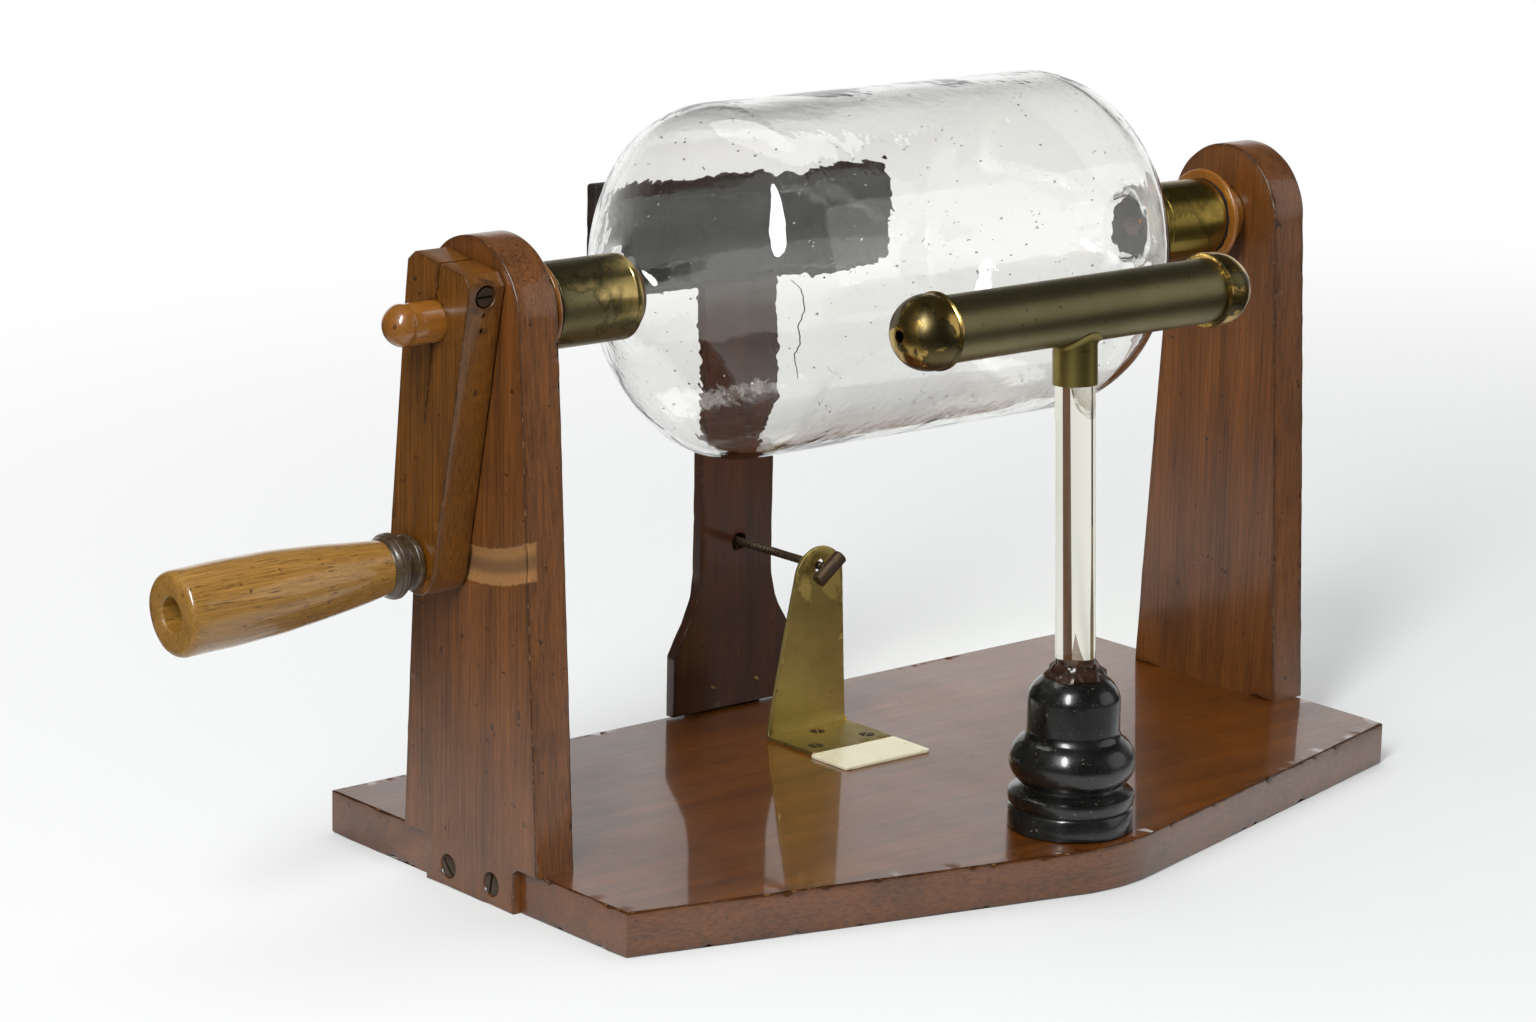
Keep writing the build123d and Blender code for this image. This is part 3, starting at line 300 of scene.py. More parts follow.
CHIP, CHIP_REACH = 2.0, 1.6 * MM  # how much a knock widens the arris, and how far along it


def knocked(points, edge, thick, step, shift, knocks):
    """Width of the worn arris at each point: it wanders, and each knock (point, size) widens it nearby."""
    count = len(points)
    widths = []
    for i, p in enumerate(points):
        width = edge * (0.8 + 0.7 * noise.noise((p.to_3d() + shift) * 90))
        for at, size in knocks:
            gap = min(abs(i - at), count - abs(i - at)) * step
            width += edge * CHIP * size * math.exp(-((gap / CHIP_REACH) ** 2))
        widths.append(max(edge * 0.35, min(width, thick * 0.45)))
    return widths


def board(loops, thick, edge, step, seed, chips=0):
    """Board cut to an outline, anticlockwise, with holes, clockwise, in the XY plane from z 0 to thick.

    Its arrises are rounded unevenly, with a few knocks, and an attribute called wear says how near
    each point is to an arris."""
    rng = random.Random(seed)
    shape = bmesh.new()
    wear = shape.verts.layers.float.new("wear")
    faces = (([], []), ([], []))  # the low and the high face: its points and its borders
    lines = []
    for loop in loops:
        points = divided(loop, step)
        lines.append(points)
        count = len(points)
        ways = inward_ways(points)
        knocks = [[(rng.randrange(count), rng.uniform(0.5, 1.0)) for _ in range(chips)] for _ in (0, 1)]
        cut = [knocked(points, edge, thick, step, Vector((seed, 0, side)), knocks[side]) for side in (0, 1)]
        rings = []
        rounding = [math.pi / 2 * k / 3 for k in range(4)]
        walls = max(1, round(thick / (4 * MM)))
        for side, a in [(0, a) for a in rounding] + [(1, a) for a in rounding[::-1]]:
            if side and a == rounding[-1]:
                for k in range(1, walls):
                    rings.append([(p, e + (thick - e - f) * k / walls, 0.15) for p, e, f in zip(points, *cut)])
            rise, worn = 1 - math.cos(a), math.sin(2 * a) * 0.6 + 0.4
            rings.append(
                [
                    (p + n * e * (1 - math.sin(a)), thick - e * rise if side else e * rise, worn)
                    for p, n, e in zip(points, ways, cut[side])
                ]
            )
        made = []
        for ring in rings:
            row = []
            for p, z, worn in ring:
                v = shape.verts.new((p.x, p.y, z))
                v[wear] = worn
                row.append(v)
            made.append(row)
        for upper, lower in zip(made, made[1:]):
            for i in range(count):
                j = (i + 1) % count
                shape.faces.new((upper[i], upper[j], lower[j], lower[i]))
        for (verts, borders), row in zip(faces, (made[0], made[-1])):
            start = len(verts)
            verts.extend(row)
            borders.extend((start + i, start + (i + 1) % count) for i in range(count))
    outline = np.array([(a.x, a.y, b.x, b.y) for line in lines for a, b in zip(line, line[1:] + line[:1])])
    # an open net of points inside the borders carries the hollows that planing leaves
    low, high = outline[:, :2].min(0), outline[:, :2].max(0)
    grid = step * 2.2
    xs, ys = np.meshgrid(np.arange(low[0], high[0], grid), np.arange(low[1], high[1], grid))
    xs, ys = xs.ravel(), ys.ravel()
    xs = xs + (np.round(ys / grid) % 2) * grid / 2
    keep = enclosed(outline, xs, ys)
    tree = kdtree.KDTree(sum(len(line) for line in lines))
    for i, p in enumerate(p for line in lines for p in line):
        tree.insert(p.to_3d(), i)
    tree.balance()
    inner = []
    for px, py in zip(xs[keep], ys[keep]):
        gap = tree.find((px, py, 0))[2]
        if gap > edge * 1.5 + step * 0.9:
            inner.append((Vector((px, py)), gap))
    for (verts, borders), z in zip(faces, (0.0, thick)):
        flat = [v.co.xy for v in verts] + [p for p, _ in inner]
        real = list(verts)
        for p, gap in inner:
            v = shape.verts.new((p.x, p.y, z))
            v[wear] = 0.35 * math.exp(-gap / (3 * MM))
            real.append(v)
        found, _, tris, origin, _, _ = geometry.delaunay_2d_cdt(flat, borders, [], 0, 1e-9)
        middles = np.array([[sum(found[i][k] for i in t) / 3 for k in (0, 1)] for t in tris])
        for t, ok in zip(tris, enclosed(outline, middles[:, 0], middles[:, 1])):
            corner = [real[origin[i][0]] for i in t if origin[i]]
            if ok and len(set(corner)) == 3:
                shape.faces.new(corner if z else corner[::-1])
    bmesh.ops.recalc_face_normals(shape, faces=shape.faces)
    mesh = bpy.data.meshes.new("board")
    shape.to_mesh(mesh)
    shape.free()
    return mesh


def hole(x, y, radius, steps):
    """Ring of points, clockwise, for a round hole in a board."""
    turn = np.linspace(0, math.tau, steps + 1)[:-1]
    return [Vector((x + radius * math.cos(a), y - radius * math.sin(a))) for a in turn]


def fitted(mesh, place, sway=0.04, span=38):
    """Takes a board to its place, with the slight hollows that planing and rubbing leave."""
    for v in mesh.vertices:
        v.co = place(v.co)
    mesh.update()
    moves = [
        v.co + v.normal * (
            noise.noise(v.co * 1000 / span) * sway * MM + noise.noise(v.co * 400) * sway * 0.3 * MM
        )
        for v in mesh.vertices
    ]
    for v, p in zip(mesh.vertices, moves):
        v.co = p
    mesh.update()
    return mesh


def cut_by(mesh, cutter):
    """The mesh less a closed cutter mesh."""
    piece = bpy.data.objects.new("work", outward(mesh))
    tool = bpy.data.objects.new("tool", outward(cutter))
    for o in (piece, tool):
        bpy.context.scene.collection.objects.link(o)
    cutting = piece.modifiers.new("cut", "BOOLEAN")
    cutting.object = tool
    cutting.operation = "DIFFERENCE"
    cutting.solver = "EXACT"
    result = evaluated(piece)
    for o in (piece, tool):
        bpy.data.objects.remove(o)
    return result


def finer(mesh, wanted, cuts=2):
    """The mesh with its edges divided where a test of their ends says so."""
    shape = bmesh.new()
    shape.from_mesh(mesh)
    edges = [e for e in shape.edges if all(wanted(v.co) for v in e.verts) and e.calc_length() > 0.5 * MM]
    bmesh.ops.subdivide_edges(shape, edges=edges, cuts=cuts, use_grid_fill=True)
    bmesh.ops.triangulate(shape, faces=[f for f in shape.faces if len(f.verts) > 4])
    shape.to_mesh(mesh)
    shape.free()
    return mesh


def evaluated(piece):
    """A plain mesh of an object as its modifiers leave it."""
    graph = bpy.context.evaluated_depsgraph_get()
    graph.update()
    return bpy.data.meshes.new_from_object(piece.evaluated_get(graph), depsgraph=graph)


def block(low, high):
    """Box between two corners."""
    mesh = bpy.data.meshes.new("block")
    shape = bmesh.new()
    bmesh.ops.create_cube(shape, size=1)
    low, high = Vector(low), Vector(high)
    for v in shape.verts:
        v.co = Vector([(low[k] + high[k]) / 2 + v.co[k] * (high[k] - low[k]) for k in range(3)])
    shape.to_mesh(mesh)
    shape.free()
    return mesh


# ------------------------------------------------------------------ node trees for shapes
def tree_with(name, **sockets):
    """Empty geometry tree that takes a shape, the sockets named and a material."""
    tree = bpy.data.node_groups.new(name, "GeometryNodeTree")
    for label, kind in {"Geometry": "Geometry", **sockets, "Material": "Material"}.items():
        tree.interface.new_socket(label.replace("_", " "), in_out="INPUT", socket_type="NodeSocket" + kind)
    tree.interface.new_socket("Geometry", in_out="OUTPUT", socket_type="NodeSocketGeometry")
    return tree, add(tree, "NodeGroupInput").outputs


def tree_ended(tree, shape, given):
    """Ends a geometry tree: the copies made real, in the material given."""
    real = add(tree, "GeometryNodeRealizeInstances", {"Geometry": shape}).outputs[0]
    coated = add(tree, "GeometryNodeSetMaterial", {"Geometry": real, "Material": given["Material"]}).outputs[0]
    add(tree, "NodeGroupOutput", {"Geometry": coated})


def shaped_by(tree, mesh, **values):
    """Runs a geometry tree on a mesh with its named inputs and returns the plain mesh."""
    piece = bpy.data.objects.new("work", mesh)
    bpy.context.scene.collection.objects.link(piece)
    step = piece.modifiers.new(tree.name, "NODES")
    step.node_group = tree
    names = {s.name: s.identifier for s in tree.interface.items_tree if s.in_out == "INPUT"}
    for label, value in values.items():
        step[names[label.replace("_", " ")]] = value
    result = evaluated(piece)
    piece.modifiers.remove(step)
    bpy.data.objects.remove(piece)
    return result


def turning_tree():
    """Turns a profile about the X axis: each profile point is (along, radius, share of the wobble)."""
    tree, given = tree_with(
        "Turned piece", Steps_round="Int", Wobble="Float", Wobble_size="Float", Seed="Float"
    )
    count = add(
        tree, "GeometryNodeAttributeDomainSize", {"Geometry": given["Geometry"]}, component="MESH"
    ).outputs[0]
    run = add(tree, "ShaderNodeMath", {0: count, 1: 1.0}, operation="SUBTRACT").outputs[0]
    around = add(tree, "ShaderNodeMath", {0: given["Steps round"], 1: 1.0}, operation="ADD").outputs[0]
    sheet = add(
        tree,
        "GeometryNodeMeshGrid",
        {"Size X": run, "Size Y": given["Steps round"], "Vertices X": count, "Vertices Y": around},
    ).outputs[0]
    spot = add(tree, "ShaderNodeSeparateXYZ", {0: add(tree, "GeometryNodeInputPosition").outputs[0]}).outputs
    half = add(tree, "ShaderNodeMath", {0: run, 1: 0.5}, operation="MULTIPLY").outputs[0]
    column = add(tree, "ShaderNodeMath", {0: spot[0], 1: half}, operation="ADD").outputs[0]
    index = add(tree, "ShaderNodeMath", {0: column}, operation="ROUND").outputs[0]
    turn = add(tree, "ShaderNodeMath", {0: spot[1], 1: given["Steps round"]}, operation="DIVIDE").outputs[0]
    angle = add(tree, "ShaderNodeMath", {0: turn, 1: math.tau}, operation="MULTIPLY").outputs[0]
    sampled = add(
        tree,
        "GeometryNodeSampleIndex",
        {"Geometry": given["Geometry"], "Index": index},
        data_type="FLOAT_VECTOR",
        domain="POINT",
    )
    tree.links.new(add(tree, "GeometryNodeInputPosition").outputs[0], sampled.inputs["Value"])
    profile = add(tree, "ShaderNodeSeparateXYZ", {0: sampled.outputs[0]}).outputs
    cosine = add(tree, "ShaderNodeMath", {0: angle}, operation="COSINE").outputs[0]
    sine = add(tree, "ShaderNodeMath", {0: angle}, operation="SINE").outputs[0]
    y = add(tree, "ShaderNodeMath", {0: profile[1], 1: cosine}, operation="MULTIPLY").outputs[0]
    z = add(tree, "ShaderNodeMath", {0: profile[1], 1: sine}, operation="MULTIPLY").outputs[0]
    place = add(tree, "ShaderNodeCombineXYZ", {0: profile[0], 1: y, 2: z}).outputs[0]
    kept = add(
        tree,
        "GeometryNodeStoreNamedAttribute",
        {"Geometry": sheet, "Name": "give", "Value": profile[2]},
        data_type="FLOAT",
        domain="POINT",
    ).outputs[0]
    set_round = add(tree, "GeometryNodeSetPosition", {"Geometry": kept, "Position": place}).outputs[0]
    closed = add(tree, "GeometryNodeMergeByDistance", {"Geometry": set_round, "Distance": 1e-6}).outputs[0]
    share = add(tree, "GeometryNodeInputNamedAttribute", {"Name": "give"}, data_type="FLOAT").outputs[0]
    fine = add(tree, "ShaderNodeMath", {0: 1.0, 1: given["Wobble size"]}, operation="DIVIDE").outputs[0]
    swell = add(
        tree, "ShaderNodeTexNoise", {"Scale": fine, "W": given["Seed"], "Detail": 1.5}, noise_dimensions="4D"
    ).outputs[0]
    signed = add(
        tree, "ShaderNodeMapRange", {"Value": swell, "From Min": 0.25, "From Max": 0.75, "To Min": -1.0}
    ).outputs[0]
    amount = add(tree, "ShaderNodeMath", {0: signed, 1: given["Wobble"]}, operation="MULTIPLY").outputs[0]
    moved = add(tree, "ShaderNodeMath", {0: amount, 1: share}, operation="MULTIPLY").outputs[0]
    outward = add(
        tree, "ShaderNodeVectorMath", {0: add(tree, "GeometryNodeInputNormal").outputs[0]}, operation="SCALE"
    )
    tree.links.new(moved, outward.inputs["Scale"])
    wobbled = add(
        tree, "GeometryNodeSetPosition", {"Geometry": closed, "Offset": outward.outputs[0]}
    ).outputs[0]
    tree_ended(tree, wobbled, given)


def screws_tree():
    """Copies one screw to every point, its head facing the point's own facing, its slot turned by chance."""
    tree, given = tree_with("Screws", Screw="Object", Size="Float", Seed="Int")
    screw = add(tree, "GeometryNodeObjectInfo", {"Object": given["Screw"]}).outputs["Geometry"]
    facing = add(
        tree, "GeometryNodeInputNamedAttribute", {"Name": "facing"}, data_type="FLOAT_VECTOR"
    ).outputs[0]
    aim = add(tree, "FunctionNodeAlignRotationToVector", {"Vector": facing}, axis="Z").outputs[0]
    spin = add(tree, "FunctionNodeRandomValue", {"Seed": given["Seed"]}, data_type="FLOAT")
    spin.inputs["Min"].default_value = 0.0
    for socket in spin.inputs:
        if socket.name == "Max" and socket.type == "VALUE":
            socket.default_value = math.pi
    chance = next(s for s in spin.outputs if s.type == "VALUE" and s.enabled)
    slot_turn = add(tree, "ShaderNodeCombineXYZ", {2: chance}).outputs[0]
    slot_spin = add(tree, "FunctionNodeEulerToRotation", {0: slot_turn}).outputs[0]
    whole = add(tree, "FunctionNodeRotateRotation", {0: aim, 1: slot_spin}, rotation_space="LOCAL").outputs[0]
    copies = add(
        tree,
        "GeometryNodeInstanceOnPoints",
        {"Points": given["Geometry"], "Instance": screw, "Rotation": whole, "Scale": given["Size"]},
    ).outputs[0]
    tree_ended(tree, copies, given)


def seeds_tree():
    """Scatters small air seeds inside a glass wall, drawn out along the axle as blown glass is."""
    tree, given = tree_with("Air seeds", Density="Float", Depth="Float", Radius="Float", Seed="Int")
    spread = add(
        tree,
        "GeometryNodeDistributePointsOnFaces",
        {"Mesh": given["Geometry"], "Density": given["Density"], "Seed": given["Seed"]},
    )
    inward = add(tree, "ShaderNodeMath", {0: given["Depth"], 1: -1.0}, operation="MULTIPLY").outputs[0]
    sink = add(tree, "ShaderNodeVectorMath", {0: spread.outputs["Normal"], "Scale": inward}, operation="SCALE")
    sunk = add(
        tree, "GeometryNodeSetPosition", {"Geometry": spread.outputs["Points"], "Offset": sink.outputs[0]}
    )
    ball = add(tree, "GeometryNodeMeshIcoSphere", {"Radius": given["Radius"], "Subdivisions": 2}).outputs[0]
    drawn = add(tree, "GeometryNodeTransform", {"Geometry": ball, "Scale": (1.5, 1.0, 1.0)}).outputs[0]
    chance = add(tree, "FunctionNodeRandomValue", {"Seed": given["Seed"]}, data_type="FLOAT")
    odds = next(s for s in chance.outputs if s.type == "VALUE" and s.enabled)
    small = add(tree, "ShaderNodeMath", {0: odds, 1: 3.0}, operation="POWER").outputs[0]
    size = add(tree, "ShaderNodeMapRange", {"Value": small, "To Min": 0.4, "To Max": 1.9}).outputs[0]
    copies = add(
        tree, "GeometryNodeInstanceOnPoints", {"Points": sunk.outputs[0], "Instance": drawn, "Scale": size}
    ).outputs[0]
    tree_ended(tree, copies, given)


def pins_tree():
    """A row of pointed wire pins along X, each standing out along Y."""
    tree, given = tree_with(
        "Pointed pins", Count="Int", Pitch="Float", Shank_length="Float", Point_length="Float",
        Wire_radius="Float",
    )
    last = add(tree, "ShaderNodeMath", {0: given["Count"], 1: 1.0}, operation="SUBTRACT").outputs[0]
    run = add(tree, "ShaderNodeMath", {0: last, 1: given["Pitch"]}, operation="MULTIPLY").outputs[0]
    back = add(tree, "ShaderNodeMath", {0: run, 1: -0.5}, operation="MULTIPLY").outputs[0]
    row = add(
        tree,
        "GeometryNodeMeshLine",
        {
            "Count": given["Count"],
            "Start Location": add(tree, "ShaderNodeCombineXYZ", {0: back}).outputs[0],
            "Offset": add(tree, "ShaderNodeCombineXYZ", {0: given["Pitch"]}).outputs[0],
        },
    ).outputs[0]
    shank = add(
        tree,
        "GeometryNodeMeshCylinder",
        {"Vertices": 12, "Radius": given["Wire radius"], "Depth": given["Shank length"]},
    ).outputs[0]
    lift = add(tree, "ShaderNodeMath", {0: given["Shank length"], 1: 0.5}, operation="MULTIPLY").outputs[0]
    raised = add(
        tree,
        "GeometryNodeTransform",
        {"Geometry": shank, "Translation": add(tree, "ShaderNodeCombineXYZ", {2: lift}).outputs[0]},
    ).outputs[0]
    tip = add(
        tree,
        "GeometryNodeMeshCone",
        {"Vertices": 12, "Radius Bottom": given["Wire radius"], "Depth": given["Point length"]},
    )
    blunt = add(tree, "ShaderNodeMath", {0: given["Wire radius"], 1: 0.15}, operation="MULTIPLY").outputs[0]
    tree.links.new(blunt, tip.inputs["Radius Top"])
    tipped = add(
        tree,
        "GeometryNodeTransform",
        {
            "Geometry": tip.outputs[0],
            "Translation": add(tree, "ShaderNodeCombineXYZ", {2: given["Shank length"]}).outputs[0],
        },
    ).outputs[0]
    both = add(tree, "GeometryNodeJoinGeometry")
    tree.links.new(raised, both.inputs[0])
    tree.links.new(tipped, both.inputs[0])
    pin = add(tree, "GeometryNodeMergeByDistance", {"Geometry": both.outputs[0], "Distance": 1e-6}).outputs[0]
    copies = add(
        tree,
        "GeometryNodeInstanceOnPoints",
        {"Points": row, "Instance": pin, "Rotation": (-math.pi / 2, 0.0, 0.0)},
    ).outputs[0]
    tree_ended(tree, copies, given)


def thread_tree():
    """A screwed rod along Z from 0 up: a round core with one raised thread wound on it."""
    tree, given = tree_with("Screwed rod", Rod_length="Float", Rod_radius="Float", Pitch="Float")
    turns = add(
        tree, "ShaderNodeMath", {0: given["Rod length"], 1: given["Pitch"]}, operation="DIVIDE"
    ).outputs[0]
    root = add(tree, "ShaderNodeMath", {0: given["Pitch"], 1: 0.45}, operation="MULTIPLY").outputs[0]
    core_radius = add(
        tree, "ShaderNodeMath", {0: given["Rod radius"], 1: root}, operation="SUBTRACT"
    ).outputs[0]
    core = add(
        tree, "GeometryNodeMeshCylinder", {"Vertices": 24, "Radius": core_radius, "Depth": given["Rod length"]}
    ).outputs[0]
    lift = add(tree, "ShaderNodeMath", {0: given["Rod length"], 1: 0.5}, operation="MULTIPLY").outputs[0]
    raised = add(
        tree,
        "GeometryNodeTransform",
        {"Geometry": core, "Translation": add(tree, "ShaderNodeCombineXYZ", {2: lift}).outputs[0]},
    ).outputs[0]
    helix = add(
        tree,
        "GeometryNodeCurveSpiral",
        {
            "Resolution": 18, "Rotations": turns, "Start Radius": core_radius, "End Radius": core_radius,
            "Height": given["Rod length"],
        },
    ).outputs[0]
    ridge = add(tree, "GeometryNodeCurvePrimitiveCircle", {"Resolution": 4, "Radius": root}).outputs["Curve"]
    wound = add(
        tree, "GeometryNodeCurveToMesh", {"Curve": helix, "Profile Curve": ridge, "Fill Caps": True}
    ).outputs[0]
    both = add(tree, "GeometryNodeJoinGeometry")
    tree.links.new(raised, both.inputs[0])
    tree.links.new(wound, both.inputs[0])
    tree_ended(tree, both.outputs[0], given)


def turned(profile, matrix, material, steps=96, wobble=0.0, wobble_size=20.0, seed=0.0):
    """Mesh of a turned piece. A profile point is (along, radius) or (along, radius, share of the wobble)."""
    mesh = bpy.data.meshes.new("profile")
    points = [tuple(p) + (1.0,) * (3 - len(p)) for p in profile]
    mesh.from_pydata(points, [(i, i + 1) for i in range(len(points) - 1)], [])
    result = shaped_by(
        bpy.data.node_groups["Turned piece"],
        mesh,
        Steps_round=steps,
        Wobble=wobble * MM,
        Wobble_size=wobble_size * MM,
        Seed=seed,
        Material=material,
    )
    result.transform(matrix)
    return result


# ------------------------------------------------------------------ materials
def finish_start(name):
    """A material with its tree, its shader and the place of each point on the machine."""
    material = bpy.data.materials.new(name)
    material.use_nodes = True
    tree = material.node_tree
    tree.nodes.clear()
    shader = add(tree, "ShaderNodeBsdfPrincipled")
    add(tree, "ShaderNodeOutputMaterial", {"Surface": shader.outputs[0]})
    where = add(tree, "ShaderNodeTexCoord").outputs["Object"]
    return material, tree, shader, where


# grain along X, Y or Z: turn that brings the grain to local X
GRAIN = {"X": (0, 0, 0), "Y": (0, 0, -math.pi / 2), "Z": (0, math.pi / 2, 0)}


FIGURE = 0.45  # share of the broad figure in the wood's tone, the rest is fibres
RUB_FRAY = 2.2 * MM  # how far the rim of the rubbed ring wanders


def polished_wood(name, light, dark, grain, seed, raw, gloss, pores=0.7, dull=0.36, coat_rough=0.14, rub=None):
    """French polished hardwood. Broad bands of figure lie along the grain with soft fibres a millimetre
    wide, and open pores show as short dark flecks. Arrises are rubbed by the wear attribute, first dark
    where polish and dirt build up and then through to light wood. Where a part has rubbed a ring into the
    face, given as rub (inner radius, outer radius, reach along X), the raw wood is bare."""
    material, tree, shader, where = finish_start(name)
    moved = (seed, seed * 0.7, seed * 0.3)
    base = add(
        tree, "ShaderNodeMapping", {"Vector": where, "Location": moved, "Rotation": GRAIN[grain]}
    ).outputs[0]
    streaks = []
    # bands of figure, fibres, open pores: millimetres along and across the grain, the range of the noise
    # that shows, its detail, roughness and bend
    for along_mm, across_mm, low, high, detail, rough, bend in (
        (240, 14, 0.25, 0.75, 3.0, 0.5, 0.6),
        (45, 0.9, 0.33, 0.67, 4.0, 0.65, 0.0),
        (11, 0.36, 0.6, 0.68, 2.0, 0.6, 0.0),
    ):
        scale = (1000 / along_mm, 1000 / across_mm, 1000 / across_mm)
        scaled = add(tree, "ShaderNodeMapping", {"Vector": base, "Scale": scale}).outputs[0]
        drawn = {"Vector": scaled, "Scale": 1.0, "Detail": detail, "Roughness": rough, "Distortion": bend}
        value = add(tree, "ShaderNodeTexNoise", drawn).outputs["Fac"]
        streaks.append(
            add(tree, "ShaderNodeMapRange", {"Value": value, "From Min": low, "From Max": high}).outputs[0]
        )
    bands, fibres, flecks = streaks
    # dents 4 mm apart, clouds of handling 70 mm across and the crumbs that fray a worn edge
    nicks, patch, bits = (
        add(
            tree, "ShaderNodeTexNoise", {"Vector": where, "Scale": scale, "Detail": detail, "Roughness": rough}
        ).outputs["Fac"]
        for scale, detail, rough in ((240.0, 2.0, 0.5), (14.0, 5.0, 0.6), (260.0, 4.0, 0.7))
    )
    wear = add(tree, "ShaderNodeAttribute", attribute_name="wear").outputs["Fac"]
    worn = add(tree, "ShaderNodeMath", {0: wear, 1: bits}, operation="MULTIPLY").outputs[0]
    deep = [c * 0.36 for c in dark[:3]] + [1.0]
    fine = add(tree, "ShaderNodeMath", {0: fibres, 1: 1 - FIGURE}, operation="MULTIPLY").outputs[0]
    share = add(tree, "ShaderNodeMath", {0: bands, 1: FIGURE, 2: fine}, operation="MULTIPLY_ADD").outputs[0]
    tone = add(
        tree, "ShaderNodeMix", {"Factor": share, "A": dark, "B": light}, data_type="RGBA"
    ).outputs["Result"]
    for value, low, high, most, shade in (
        (flecks, 0.0, 1.0, pores, deep), (nicks, 0.7, 0.73, 0.8, deep), (patch, 0.5, 0.8, 0.5, deep),
        (worn, 0.12, 0.45, 0.7, deep), (worn, 0.5, 0.58, 0.8, raw),
    ):
        span = {"Value": value, "From Min": low, "From Max": high, "To Max": most}
        share = add(tree, "ShaderNodeMapRange", span).outputs[0]
        tone = add(
            tree, "ShaderNodeMix", {"Factor": share, "A": tone, "B": shade}, data_type="RGBA"
        ).outputs["Result"]
    coat, open_wood = gloss, 0.0
    if rub:
        inner, outer, reach = rub
        width = outer - inner
        apart = add(tree, "ShaderNodeVectorMath", {0: where, 1: tuple(AXIS)}, operation="SUBTRACT").outputs[0]
        flat = add(tree, "ShaderNodeVectorMath", {0: apart, 1: (0, 1, 1)}, operation="MULTIPLY").outputs[0]
        off = add(tree, "ShaderNodeVectorMath", {0: flat}, operation="LENGTH").outputs["Value"]
        frayed = add(
            tree, "ShaderNodeMath", {0: bits, 1: RUB_FRAY, 2: off}, operation="MULTIPLY_ADD"
        ).outputs[0]
        x, _, z = add(tree, "ShaderNodeSeparateXYZ", {0: where}).outputs
        # the ring's rims, how deep it goes and how it dies out beside the axle, then its darker middle
        shares = [
            add(tree, "ShaderNodeMapRange", {"Value": value, "From Min": low, "From Max": high}).outputs[0]
            for value, low, high in (
                (frayed, inner + 0.8 * MM, inner + 1.4 * MM),
                (frayed, outer + 1.4 * MM, outer + 0.8 * MM),
                (x, reach, reach - 0.8 * MM),
                (z, AXIS.z - 20 * MM, AXIS.z - 40 * MM),
                (off, inner + width * 0.2, inner + width * 0.42),
                (off, inner + width * 0.78, inner + width * 0.6),
            )
        ]
        open_wood, middle = shares[0], 0.8
        for share in shares[1:4]:
            open_wood = add(tree, "ShaderNodeMath", {0: open_wood, 1: share}, operation="MULTIPLY").outputs[0]
        for share in shares[4:]:
            middle = add(tree, "ShaderNodeMath", {0: middle, 1: share}, operation="MULTIPLY").outputs[0]
        lighter = [min(1, c * 1.3) for c in raw[:3]] + [1.0]
        darker = [c * 0.5 for c in raw[:3]] + [1.0]
        bare = raw
        for share, shade in ((fibres, lighter), (middle, darker)):
            bare = add(
                tree, "ShaderNodeMix", {"Factor": share, "A": bare, "B": shade}, data_type="RGBA"
            ).outputs["Result"]
        tone = add(
            tree, "ShaderNodeMix", {"Factor": open_wood, "A": tone, "B": bare}, data_type="RGBA"
        ).outputs["Result"]
        coat = add(tree, "ShaderNodeMapRange", {"Value": open_wood, "To Min": gloss, "To Max": 0.0}).outputs[0]
    span = {"Value": patch, "From Min": 0.3, "From Max": 0.7, "To Min": dull, "To Max": dull + 0.14}
    shine = add(tree, "ShaderNodeMapRange", span).outputs[0]
    rough = add(tree, "ShaderNodeMath", {0: open_wood, 1: 0.4, 2: shine}, operation="MULTIPLY_ADD").outputs[0]
    height = add(tree, "ShaderNodeMath", {0: fibres, 1: flecks}, operation="SUBTRACT").outputs[0]
    bump = add(tree, "ShaderNodeBump", {"Height": height, "Strength": 0.3, "Distance": 0.08 * MM}).outputs[0]
    polish = {"Coat Weight": coat, "Coat Roughness": coat_rough, "IOR": 1.5}
    feed(tree, shader, {"Base Color": tone, "Roughness": rough, "Normal": bump, **polish})
    return material


